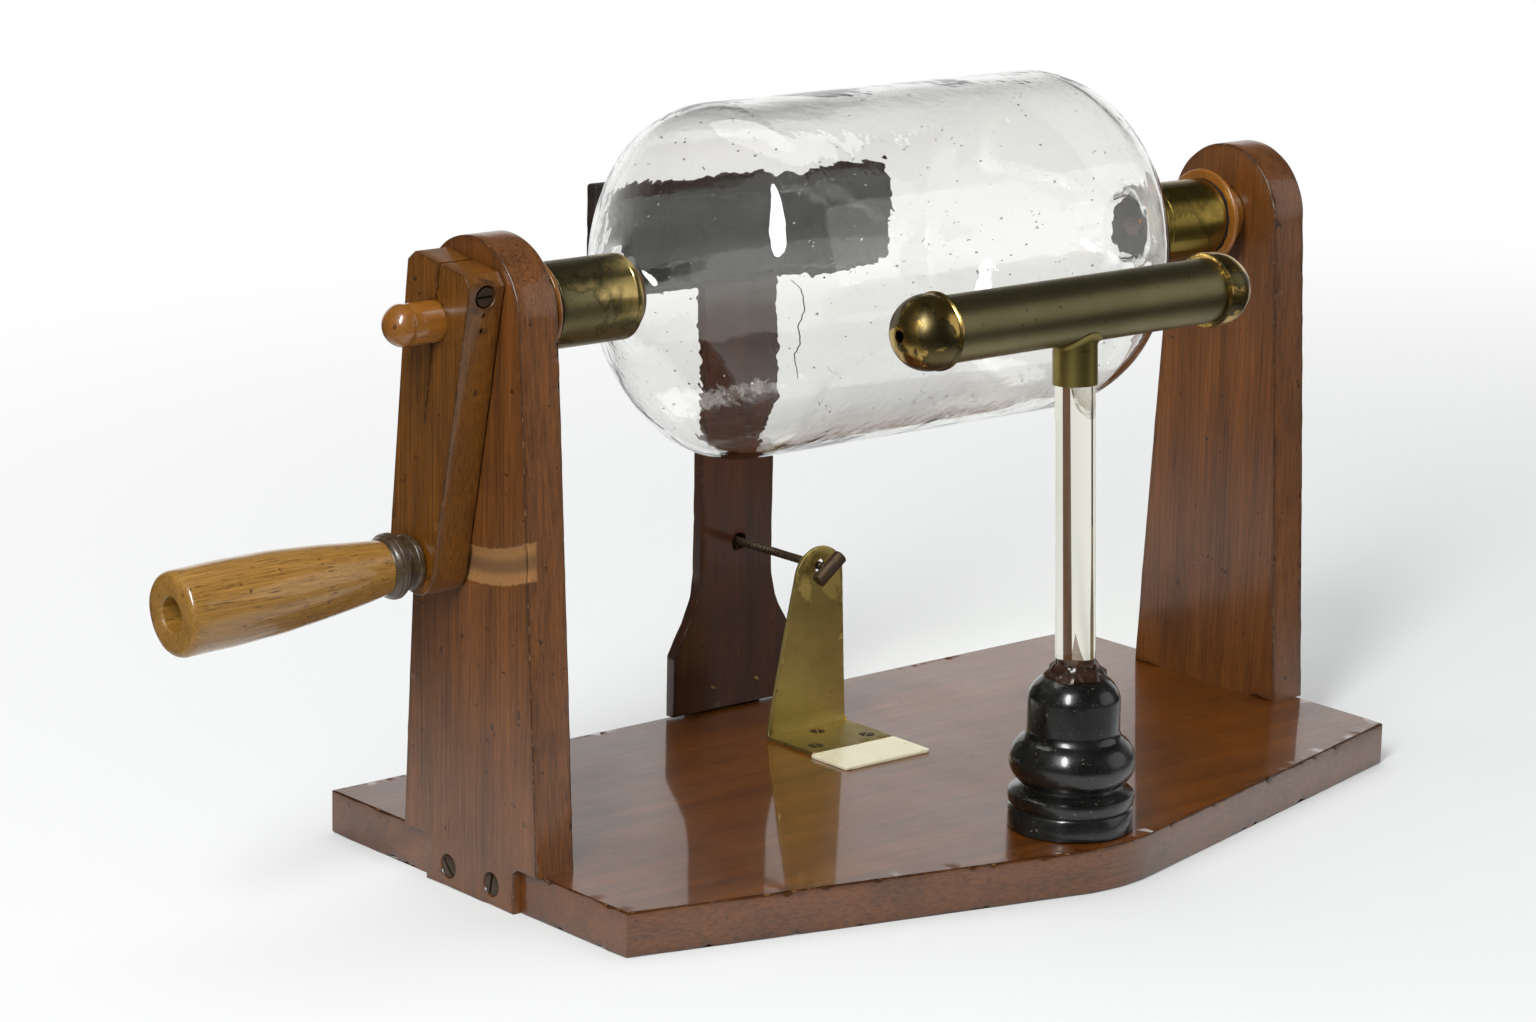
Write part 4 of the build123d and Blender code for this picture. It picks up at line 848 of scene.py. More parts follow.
def aged_brass(name, bright, dull, tarnish, cloud_mm, rough, ends=None, ragged=0.03):
    """Lacquered brass gone dull. Olive tarnish lies over the yellow metal and has flaked off in patches
    with ragged dark rims. Small black spots and fine drawing lines are over all of it."""
    material, tree, shader, where = finish_start(name)
    drawn = {"Vector": where, "Scale": 1000 / cloud_mm, "Detail": 9.0, "Roughness": 0.6, "Distortion": 0.3}
    level = add(tree, "ShaderNodeTexNoise", drawn).outputs["Fac"]
    if ends:
        # more metal shows toward the ends, where hands and dusters reach it
        middle, start, stop, amount = ends
        x = add(tree, "ShaderNodeSeparateXYZ", {0: where}).outputs[0]
        off = add(tree, "ShaderNodeMath", {0: x, 1: middle}, operation="SUBTRACT").outputs[0]
        far = add(tree, "ShaderNodeMath", {0: off}, operation="ABSOLUTE").outputs[0]
        span = {"Value": far, "From Min": start, "From Max": stop, "To Max": amount}
        nearer = add(tree, "ShaderNodeMapRange", span).outputs[0]
        level = add(tree, "ShaderNodeMath", {0: level, 1: nearer}, operation="ADD").outputs[0]
    # clouds in the tarnish 30 mm across, spots 2 mm apart, and lines of the drawing along X
    wash = add(tree, "ShaderNodeTexNoise", {"Vector": where, "Scale": 35.0, "Detail": 4.0}).outputs["Fac"]
    speck = add(tree, "ShaderNodeTexNoise", {"Vector": where, "Scale": 520.0, "Detail": 2.0}).outputs["Fac"]
    lines = add(tree, "ShaderNodeMapping", {"Vector": where, "Scale": (40, 2500, 2500)}).outputs[0]
    scratch = add(tree, "ShaderNodeTexNoise", {"Vector": lines, "Scale": 1.0, "Detail": 2.0}).outputs["Fac"]
    black = [c * 0.25 for c in dull[:3]] + [1.0]
    tone = [c * 0.78 for c in dull[:3]] + [1.0]
    # the tarnish, the dark rim round each flake, the metal in it and the spots, one over another
    for value, low, high, most, shade in (
        (wash, 0.35, 0.7, 1.0, dull),
        (level, tarnish - 0.02, tarnish, 0.6, black),
        (level, tarnish, tarnish + ragged, 1.0, bright),
        (speck, 0.7, 0.74, 0.85, black),
    ):
        span = {"Value": value, "From Min": low, "From Max": high, "To Max": most}
        share = add(tree, "ShaderNodeMapRange", span).outputs[0]
        tone = add(
            tree, "ShaderNodeMix", {"Factor": share, "A": tone, "B": shade}, data_type="RGBA"
        ).outputs["Result"]
        if shade is bright:
            metal = share
    roughness = add(
        tree, "ShaderNodeMapRange", {"Value": metal, "To Min": rough[1], "To Max": rough[0]}
    ).outputs[0]
    relief = add(tree, "ShaderNodeMath", {0: metal, 1: -0.5, 2: scratch}, operation="MULTIPLY_ADD").outputs[0]
    bump = add(tree, "ShaderNodeBump", {"Height": relief, "Strength": 0.15, "Distance": 0.1 * MM}).outputs[0]
    feed(tree, shader, {"Base Color": tone, "Roughness": roughness, "Metallic": 1.0, "Normal": bump})
    return material


def browned_iron(name, shade):
    """Iron browned by age: satin, nearly black, with rusty clouds."""
    material, tree, shader, where = finish_start(name)
    cloud = add(
        tree, "ShaderNodeTexNoise", {"Vector": where, "Scale": 300.0, "Detail": 5.0, "Roughness": 0.65}
    ).outputs["Fac"]
    rust = [shade[0] * 1.6, shade[1] * 1.1, shade[2] * 0.8, 1.0]
    tone = add(
        tree, "ShaderNodeMix", {"Factor": cloud, "A": shade, "B": rust}, data_type="RGBA"
    ).outputs["Result"]
    rough = add(tree, "ShaderNodeMapRange", {"Value": cloud, "To Min": 0.3, "To Max": 0.62}).outputs[0]
    bump = add(tree, "ShaderNodeBump", {"Height": cloud, "Strength": 0.3, "Distance": 0.0002}).outputs[0]
    feed(tree, shader, {"Base Color": tone, "Roughness": rough, "Metallic": 0.85, "Normal": bump})
    return material


def clear_glass(name, tint, ior=1.5, waves=(), lamp_pass="#f2f2f0"):
    """Blown or drawn soda glass: clear, with waves in its faces, each given as (spacing mm, height mm),
    that bend what is seen through it. Lamps shine through it."""
    material, tree, shader, where = finish_start(name)
    feed(tree, shader, {"Base Color": tint, "Roughness": 0.0, "Transmission Weight": 1.0, "IOR": ior})
    bump = None
    for spacing, height in waves:
        swell = add(
            tree,
            "ShaderNodeTexNoise",
            {"Vector": where, "Scale": 1000 / spacing, "Detail": 1.0, "Roughness": 0.4},
        ).outputs["Fac"]
        under = {"Normal": bump} if bump else {}
        bump = add(
            tree, "ShaderNodeBump", {"Height": swell, "Strength": 1.0, "Distance": height * MM, **under}
        ).outputs[0]
    if bump:
        feed(tree, shader, {"Normal": bump})
    lamps = add(tree, "ShaderNodeLightPath").outputs["Is Shadow Ray"]
    through = add(tree, "ShaderNodeBsdfTransparent", {"Color": srgb(lamp_pass)})
    both = add(tree, "ShaderNodeMixShader", {0: lamps, 1: shader.outputs[0], 2: through.outputs[0]})
    out = next(n for n in tree.nodes if n.type == "OUTPUT_MATERIAL")
    tree.links.new(both.outputs[0], out.inputs["Surface"])
    return material


def ebonised(name, shade):
    """Turned wood stained black and polished, greyed where dust sits."""
    material, tree, shader, where = finish_start(name)
    dust = add(
        tree, "ShaderNodeTexNoise", {"Vector": where, "Scale": 70.0, "Detail": 6.0, "Roughness": 0.7}
    ).outputs["Fac"]
    haze = add(tree, "ShaderNodeMapRange", {"Value": dust, "From Min": 0.45, "From Max": 0.75}).outputs[0]
    grey = [c * 2.6 for c in shade[:3]] + [1.0]
    tone = add(
        tree, "ShaderNodeMix", {"Factor": haze, "A": shade, "B": grey}, data_type="RGBA"
    ).outputs["Result"]
    speck = add(tree, "ShaderNodeTexNoise", {"Vector": where, "Scale": 700.0, "Detail": 2.0}).outputs["Fac"]
    bits = add(
        tree, "ShaderNodeMapRange", {"Value": speck, "From Min": 0.68, "From Max": 0.74, "To Max": 0.4}
    ).outputs[0]
    dusty = add(
        tree, "ShaderNodeMix", {"Factor": bits, "A": tone, "B": srgb("#8f8a80")}, data_type="RGBA"
    ).outputs["Result"]
    rough = add(
        tree,
        "ShaderNodeMapRange",
        {"Value": dust, "From Min": 0.3, "From Max": 0.7, "To Min": 0.16, "To Max": 0.42},
    ).outputs[0]
    bump = add(tree, "ShaderNodeBump", {"Height": dust, "Strength": 0.15, "Distance": 0.0006}).outputs[0]
    feed(
        tree,
        shader,
        {"Base Color": dusty, "Roughness": rough, "Normal": bump, "Coat Weight": 0.5, "Coat Roughness": 0.1},
    )
    return material


def plain_finish(name, low, high, scale, rough, bump_mm=0.05, coat=0.0):
    """A quiet finish of two tones in clouds, for wax, cement, stained board and ivory."""
    material, tree, shader, where = finish_start(name)
    cloud = add(
        tree, "ShaderNodeTexNoise", {"Vector": where, "Scale": scale, "Detail": 6.0, "Roughness": 0.65}
    ).outputs["Fac"]
    share = add(tree, "ShaderNodeMapRange", {"Value": cloud, "From Min": 0.3, "From Max": 0.7}).outputs[0]
    tone = add(
        tree, "ShaderNodeMix", {"Factor": share, "A": low, "B": high}, data_type="RGBA"
    ).outputs["Result"]
    bump = add(tree, "ShaderNodeBump", {"Height": cloud, "Strength": 0.6, "Distance": bump_mm * MM}).outputs[0]
    roughness = add(
        tree, "ShaderNodeMapRange", {"Value": cloud, "To Min": rough[0], "To Max": rough[1]}
    ).outputs[0]
    feed(
        tree,
        shader,
        {
            "Base Color": tone, "Roughness": roughness, "Normal": bump, "Coat Weight": coat,
            "Coat Roughness": 0.15,
        },
    )
    return material


def black_leather(name):
    """Black dressed leather, matt, with a fine pebble grain about a millimetre across and dry creases."""
    material, tree, shader, where = finish_start(name)
    cells = add(
        tree, "ShaderNodeTexVoronoi", {"Vector": where, "Scale": 900.0}, feature="SMOOTH_F1"
    ).outputs["Distance"]
    crease = add(
        tree, "ShaderNodeTexNoise", {"Vector": where, "Scale": 70.0, "Detail": 5.0, "Roughness": 0.6}
    ).outputs["Fac"]
    share = add(tree, "ShaderNodeMapRange", {"Value": crease, "From Min": 0.35, "From Max": 0.75}).outputs[0]
    tone = add(
        tree, "ShaderNodeMix", {"Factor": share, "A": srgb("#131412"), "B": srgb("#2c2d2a")}, data_type="RGBA"
    ).outputs["Result"]
    height = add(tree, "ShaderNodeMath", {0: crease, 1: cells}, operation="ADD").outputs[0]
    bump = add(tree, "ShaderNodeBump", {"Height": height, "Strength": 0.5, "Distance": 0.0003}).outputs[0]
    feed(tree, shader, {"Base Color": tone, "Roughness": 0.6, "Normal": bump})
    return material


FINISH = {}


class MACHINE_OT_finishes(bpy.types.Operator):
    """Makes the materials and the node trees that the pieces use"""

    bl_idname = "machine.finishes"
    bl_label = "Finishes and node trees"

    def execute(self, context):
        c = context.scene.machine_colours
        for make in (turning_tree, screws_tree, seeds_tree, pins_tree, thread_tree):
            make()
        light, dark, raw = tuple(c.mahogany_light), tuple(c.mahogany_dark), tuple(c.raw_wood)
        size = context.scene.machine_sizes
        ring = (size.rub_inner, size.rub_outer, post_low.x + 5 * MM)
        bright = tuple(c.brass_bright)
        # a thick, glassy polish over deep red brown, so the top mirrors the balls and the pillar
        FINISH["base"] = polished_wood(
            "French polished mahogany, base", srgb("#7a4206"), srgb("#371a02"), grain="X", seed=0.0, raw=raw,
            gloss=0.9, dull=0.3, coat_rough=0.06,
        )
        # upright grain under a softer shine, and the pale ring that the crank has rubbed
        FINISH["post"] = polished_wood(
            "French polished mahogany, posts", light, dark, grain="Z", seed=0.31, raw=raw, gloss=0.6, rub=ring
        )
        # a little redder and shinier than the posts, as it is handled
        FINISH["arm"] = polished_wood(
            "French polished mahogany, crank", srgb("#804c09"), srgb("#3f2403"), grain="Z", seed=0.57, raw=raw,
            gloss=0.7,
        )
        # a darker, duller copy of the mahogany: painted shade, so the board stands back behind the glass
        FINISH["rubber"] = polished_wood(
            "French polished mahogany, rubber board",
            srgb("#54280a"),
            srgb("#220e02"),
            grain="Z",
            seed=0.83,
            raw=raw,
            gloss=0.5,
        )
        # honey coloured with open pores and a wet highlight along the grip
        FINISH["grip"] = polished_wood(
            "Varnished turned oak", tuple(c.oak_light), tuple(c.oak_dark), grain="X", seed=0.12,
            raw=srgb("#b98a4c"), gloss=1.0, pores=1.0, dull=0.3, coat_rough=0.07,
        )
        # close grained and bright orange brown, the warmest spots beside the brass
        FINISH["plug"] = polished_wood(
            "Varnished turned beech", srgb("#98601c"), srgb("#6b3f10"), grain="X", seed=0.44,
            raw=srgb("#c79a5c"), gloss=1.0, pores=0.25, dull=0.25, coat_rough=0.05,
        )
        # grey brown with sharp rings of light on its ridges
        FINISH["collar"] = polished_wood(
            "Dark turned hardwood", srgb("#57452f"), srgb("#2a1e12"), grain="X", seed=0.21, raw=srgb("#8f7a5c"),
            gloss=0.6, dull=0.3,
        )
        # pale yellow metal with olive patches that thin out toward the glass
        FINISH["cap"] = aged_brass(
            "Aged lacquered brass, crank end", srgb("#d3b976"), srgb("#8c825c"), tarnish=0.58, cloud_mm=26.0,
            rough=(0.28, 0.42), ends=(-0.19, 0.036, 0.05, 0.16), ragged=0.14,
        )
        # a warmer, evener yellow than the crank end
        FINISH["far_cap"] = aged_brass(
            "Aged lacquered brass, far end", srgb("#c9aa52"), srgb("#9d8843"), tarnish=0.5, cloud_mm=30.0,
            rough=(0.24, 0.36), ragged=0.2,
        )
        # olive drab with flakes of bright metal near the balls, the busiest surface in view
        FINISH["tube"] = aged_brass(
            "Dulled lacquered brass, conductor",
            bright,
            srgb("#8f8561"),
            tarnish=0.74,
            cloud_mm=20.0,
            rough=(0.36, 0.42),
            ends=(-0.0015, 0.06, 0.075, 0.06),
        )
        # handled smooth: tight highlights and mirrored wood, with dark blotches
        FINISH["ball"] = aged_brass(
            "Rubbed lacquered brass, balls", srgb("#c2a25a"), srgb("#6e6242"), tarnish=0.47, cloud_mm=14.0,
            rough=(0.24, 0.36), ragged=0.05,
        )
        # soft and pale, a plain rest under the mottled tube
        FINISH["socket"] = aged_brass(
            "Dulled lacquered brass, socket", srgb("#d0b26a"), srgb("#a59455"), tarnish=0.6, cloud_mm=12.0,
            rough=(0.3, 0.42), ragged=0.1,
        )
        # light lemon yellow and satin, with no strong mirror
        FINISH["bracket"] = aged_brass(
            "Rubbed sheet brass", srgb("#ecd78a"), srgb("#e2cd7c"), tarnish=0.4, cloud_mm=60.0,
            rough=(0.42, 0.5), ragged=0.5,
        )
        # nearly black screws with a brown glint
        FINISH["iron"] = browned_iron("Browned iron", tuple(c.iron_dark))
        # clear, with lines that swim a little behind it
        FINISH["glass"] = clear_glass("Blown soda glass", srgb("#fbfbf9"), 1.5, ((4.5, 0.05), (16.0, 0.12)))
        # a solid lens of faintly straw coloured glass with dark edges
        FINISH["rod"] = clear_glass("Drawn glass rod", srgb("#f6f4e8"), 1.5, ((12.0, 0.01),))
        # bright and dark pinpricks in the wall
        FINISH["seed"] = clear_glass("Air seed in the glass", srgb("#ffffff"), 2.2)
        # black that shows its turning by thin lines of light only
        FINISH["ebony"] = ebonised("Ebonised turned wood", tuple(c.ebony))
        # a lumpy, nearly black ring with wet spots
        FINISH["wax"] = plain_finish(
            "Old sealing wax", srgb("#150d08"), srgb("#3a2416"), scale=240.0, rough=(0.15, 0.4), bump_mm=0.3,
            coat=0.5,
        )
        # flat black, the deepest dark seen through the glass, and also painted shade: in the gaps at the flanges
        # and as dark specks in the glass
        FINISH["cement"] = plain_finish(
            "Black cement, also painted shade", srgb("#080707"), srgb("#1a1613"), scale=300.0, rough=(0.6, 0.9), bump_mm=0.4
        )
        # matt black that swells and creases, with a soft sheen at its rim
        FINISH["leather"] = black_leather("Black dressed leather")
        # dull black behind the cushion
        FINISH["backboard"] = plain_finish(
            "Blackened softwood", srgb("#14100d"), srgb("#2e241d"), scale=120.0, rough=(0.5, 0.75), bump_mm=0.1
        )
        # smooth warm white, the lightest thing on the base
        FINISH["plate"] = plain_finish(
            "Ivory coloured plate", srgb("#d9d1b2"), tuple(c.plate), scale=90.0, rough=(0.25, 0.4),
            bump_mm=0.02, coat=0.4,
        )
        # a thin broken brown line
        FINISH["crack"] = plain_finish(
            "Dark line of the crack", srgb("#2a231c"), srgb("#5b4b39"), scale=600.0, rough=(0.5, 0.7)
        )
        return {"FINISHED"}


class MACHINE_OT_base_board(bpy.types.Operator):
    """Base board with its bowed front, notched for the posts"""

    bl_idname = "machine.base_board"
    bl_label = "Base board"

    def execute(self, context):
        s = context.scene.machine_sizes
        half = base_high.x
        back = base_high.y
        front = -back
        notch = 5.6 * MM
        lug = 27.55 * MM  # half the width of each notch for a post's lug
        nose = (-2.2 * MM, front - 53.3 * MM, 75 * MM)  # the bowed front's blunt point and its radius
        mid = AXIS.y
        corners = [
            (-half, front), nose, (half, front), (half, mid - lug), (half - notch, mid - lug),
            (half - notch, mid + lug), (half, mid + lug), (half, back), (-half, back), (-half, mid + lug),
            (-half + notch, mid + lug), (-half + notch, mid - lug), (-half, mid - lug),
        ]
        outline = eased(corners, steps=14)
        mesh = board([outline], BASE_TOP, s.board_edge, step=2.2 * MM, seed=3, chips=26)
        fitted(mesh, lambda p: Vector(p), sway=0.05)
        for v in mesh.vertices:
            v.co.z = min(max(v.co.z, 0.0), BASE_TOP)
        placed(mesh, "base_board_dressed", FINISH["base"], "stand", "mahogany", "base_board")
        return {"FINISHED"}


class MACHINE_OT_posts(bpy.types.Operator):
    """The two round topped posts, the crank side one with the band that the crank has rubbed"""

    bl_idname = "machine.posts"
    bl_label = "Posts"

    def execute(self, context):
        s = context.scene.machine_sizes
        for side, name, low, high, seed in (
            (-1, "crank_post", post_low, post_high, 11), (1, "far_post", far_low, far_high, 17)
        ):
            thick = high.x - low.x
            outer = low.x if side < 0 else high.x
            top = high.z - AXIS.z
            foot, lug = 41.8 * MM, 27.4 * MM  # half the width on the base, and of the lug below it
            outline = [(-lug, 0), (lug, 0), (lug, BASE_TOP), (foot, BASE_TOP)]
            outline += [(top * math.cos(a), AXIS.z + top * math.sin(a)) for a in np.linspace(0, math.pi, 41)]
            outline += [(-foot, BASE_TOP), (-lug, BASE_TOP)]
            bore = hole(0, AXIS.z, POST_BORE, 48)
            mesh = board(
                [[Vector(p) for p in outline], bore], thick, s.board_edge, step=1.9 * MM, seed=seed, chips=14
            )
            # local x runs so that the outer face, z 0, looks away from the middle
            fitted(mesh, lambda p: Vector((outer - side * p.z, AXIS.y + p.x * side, p.y)), sway=0.05)
            inner = outer - side * 9 * MM
            far = outer - side * (thick + 1 * MM)
            box = block((min(inner, far), -0.1, -0.01), (max(inner, far), 0.1, BASE_TOP))
            mesh = cut_by(mesh, box)
            seat = mm([(-1, 0), (-1, 4.9), (0.2, 4.9), (3.3, 2.2), (3.5, 0)])
            for y, z in LUG_SCREWS:
                at = along(Vector((outer, y, z)), -X * side)
                mesh = cut_by(mesh, turned(seat, at, FINISH["post"], steps=32))
            if side < 0:
                # the crank has rubbed a shallow ring into the face and its arrises
                mid = (s.rub_inner + s.rub_outer) / 2
                half = (s.rub_outer - s.rub_inner) / 2

                def near_ring(p):
                    off = math.hypot(p.y - AXIS.y, p.z - AXIS.z) - mid
                    return p.x < outer + 7 * MM and p.z < AXIS.z and abs(off) < half + 3 * MM

                mesh = finer(mesh, near_ring)
                for v in mesh.vertices:
                    off = abs(math.hypot(v.co.y - AXIS.y, v.co.z - AXIS.z) - mid)
                    if v.co.x > outer + thick * 0.55 or v.co.z > AXIS.z or off > half:
                        continue
                    inside = 1 - (off / half) ** 4
                    near = math.exp(-(v.co.x - outer) / (2.5 * MM))
                    v.co.x += s.rub_depth * inside * near
                    edge = max(0, (abs(v.co.y - AXIS.y) - 28 * MM) / (8 * MM))
                    v.co.y -= math.copysign(0.9 * MM, v.co.y) * inside * min(1, edge) * near
            mesh.update()
            placed(mesh, name + "_dressed", FINISH["post"], "stand", "mahogany", name)
        return {"FINISHED"}


# the crack's turns: millimetres along the axle from the middle, and degrees round it
CRACK = [(-103.6, 168.9), (-101.0, 172.5), (-100.2, 179.1), (-101.9, 184.9)]
CRACK += [(-100.7, 191.1), (-101.9, 195.6), (-99.9, 201), (-98.7, 204.2)]
# each end's drawn cone, as shares of its length and of the step from barrel to neck
LEFT_CONE = ((0.25, 0.059), (0.409, 0.196), (0.574, 0.421), (0.741, 0.699), (0.87, 0.906))
RIGHT_CONE = ((0.2, 0.052), (0.336, 0.152), (0.545, 0.407), (0.727, 0.688), (0.873, 0.917))


class MACHINE_OT_glass_cylinder(bpy.types.Operator):
    """Blown glass cylinder with its two drawn necks, seeds and crack"""

    bl_idname = "machine.glass_cylinder"
    bl_label = "Glass cylinder"

    def execute(self, context):
        s = context.scene.machine_sizes
        radius = glass_high.z - AXIS.z
        end = glass_high.x
        neck = s.neck_radius

        def dome(shoulder, throat, shares, way):
            inner = [(shoulder + (throat - shoulder) * a, radius - (radius - neck) * b) for a, b in shares]
            return flowing([(shoulder, radius)] + inner + [(throat, neck)], (way, 0), (way, 0), 7)

        left_line = dome(s.left_shoulder, s.left_neck, LEFT_CONE, -1)
        right_line = dome(s.right_shoulder, s.right_neck, RIGHT_CONE, 1)
        barrel = [
            Vector((s.left_shoulder + (s.right_shoulder - s.left_shoulder) * k / 40, radius))
            for k in range(1, 40)
        ]
        outer = [Vector((-end, neck))] + left_line[::-1] + barrel + right_line + [Vector((end, neck))]
        inner = []
        for before, here, after in zip(outer, outer[1:], outer[2:]):
            step = (after - before).normalized()
            inner.append(here + Vector((step.y, -step.x)) * s.glass_wall)
        inner = [outer[0] - Vector((0, s.glass_wall))] + inner + [outer[-1] - Vector((0, s.glass_wall))]
        profile = [(p.x, p.y, 0.25) for p in outer] + [(p.x, p.y, 1.0) for p in inner[::-1]]
        # the necks sit in the caps and on the plugs, so the wobble dies out there
        profile = [(x, r, g if r > neck * 1.3 else 0.0) for x, r, g in profile]
        profile.append(profile[0])
        mesh = turned(
            profile, along(AXIS, X), FINISH["glass"], steps=208, wobble=s.glass_wobble / MM, wobble_size=34,
            seed=2.0,
        )
        placed(mesh, "glass_cylinder_blown", FINISH["glass"], "cylinder", "cylinder_glass", "glass_cylinder")
        # air seeds in the wall, and a few black specks, painted shade for the dark look of seeds
        for name, finish, thick, size, seed in (
            ("glass_seeds", "seed", s.seeds, s.seed_radius, 5),
            ("glass_specks", "cement", s.seeds * 0.12, s.seed_radius * 0.8, 9),
        ):
            spots = shaped_by(
                bpy.data.node_groups["Air seeds"], mesh.copy(), Density=thick, Depth=s.glass_wall / 2,
                Radius=size, Seed=seed, Material=FINISH[finish],
            )
            placed(spots, name, FINISH[finish], "cylinder", "cylinder_glass")
        # a crack runs from the crank shoulder round the front, drawn as a thin dark brown line
        line = [Vector((x * MM, math.radians(a))) for x, a in CRACK]
        line = [a.lerp(b, k / 9) for a, b in zip(line, line[1:]) for k in range(9)]
        crack = bmesh.new()
        rails = []
        for k, p in enumerate(line):
            r = next(
                b.y + (a.y - b.y) * (p.x - b.x) / (a.x - b.x)
                for b, a in zip(outer, outer[1:])
                if b.x <= p.x <= a.x
            )
            x = p.x + noise.noise((k * 0.45, 3, 1)) * 0.7 * MM
            half = 0.16 * MM * math.sin(math.pi * (k + 0.5) / len(line)) ** 0.5
            for depth in (0.25 * MM, 0.6 * MM):
                y, z = (r - depth) * math.cos(p.y), (r - depth) * math.sin(p.y)
                rails.append([crack.verts.new((x + side * half, AXIS.y + y, AXIS.z + z)) for side in (-1, 1)])
        loops = [rails[k] + rails[k + 1][::-1] for k in range(0, len(rails), 2)]
        for a, b in zip(loops, loops[1:]):
            for k in range(4):
                crack.faces.new((a[k], a[(k + 1) % 4], b[(k + 1) % 4], b[k]))
        crack.faces.new(loops[0][::-1])
        crack.faces.new(loops[-1])
        bmesh.ops.recalc_face_normals(crack, faces=crack.faces)
        torn = bpy.data.meshes.new("crack")
        crack.to_mesh(torn)
        crack.free()
        placed(torn, "glass_crack", FINISH["crack"], "cylinder", "cylinder_glass")
        return {"FINISHED"}


CAP_BORE = 14.85 * MM
NECK_END, PLUG_END = 162.3 * MM, 134 * MM  # of the necks' mouths and the plugs' inner ends, from the middle
PLUG, PLUG_SEAT, PLUG_BEHIND_CAP, PLUG_HUB = (r * MM for r in (11.9, 14.6, 15.6, 12.5))  # radii outward
SHAFT, PEG_DOME, POST_GAP = 7.9 * MM, 6.0 * MM, 0.8 * MM
CRANK_FLANGE, FAR_FLANGE = -178.8 * MM, 175.4 * MM  # the faces that look at the caps
FLANGE_THICK, FLANGE_RIM = 2.2 * MM, 20.2 * MM


def running_true(profile):
    """A profile whose shaft has no wobble, so it turns freely in its post."""
    return [(p[0], p[1], 0.0 if p[1] < SHAFT + 1 * MM else 1.0) for p in profile]


def flange_rim(face, way):
    """Rim of a plug's flange, from its back round to the face that looks at the cap."""
    back, root = face + way * FLANGE_THICK, FLANGE_RIM - 1.2 * MM
    return eased(
        [(back, root), (back, FLANGE_RIM, 0.9 * MM), (face, FLANGE_RIM, 0.9 * MM), (face, root)], False
    )


def plug_line(inner_end, cap_face, flange_face, post_face, way):
    """Profile of a plug from its end in the glass, through neck, cap and flange, to its shaft at the post."""
    neck_end = way * NECK_END
    line = [(inner_end, 0), (inner_end, PLUG), (neck_end, PLUG), (neck_end, PLUG_SEAT), (cap_face, PLUG_SEAT)]
    line += [(cap_face, PLUG_BEHIND_CAP), (flange_face, PLUG_BEHIND_CAP)]
    line += [tuple(p) for p in flange_rim(flange_face, way)[::-1]]
    gap = post_face - way * POST_GAP
    return line + [(flange_face + way * FLANGE_THICK, PLUG_HUB), (gap, PLUG_HUB), (gap, SHAFT)]


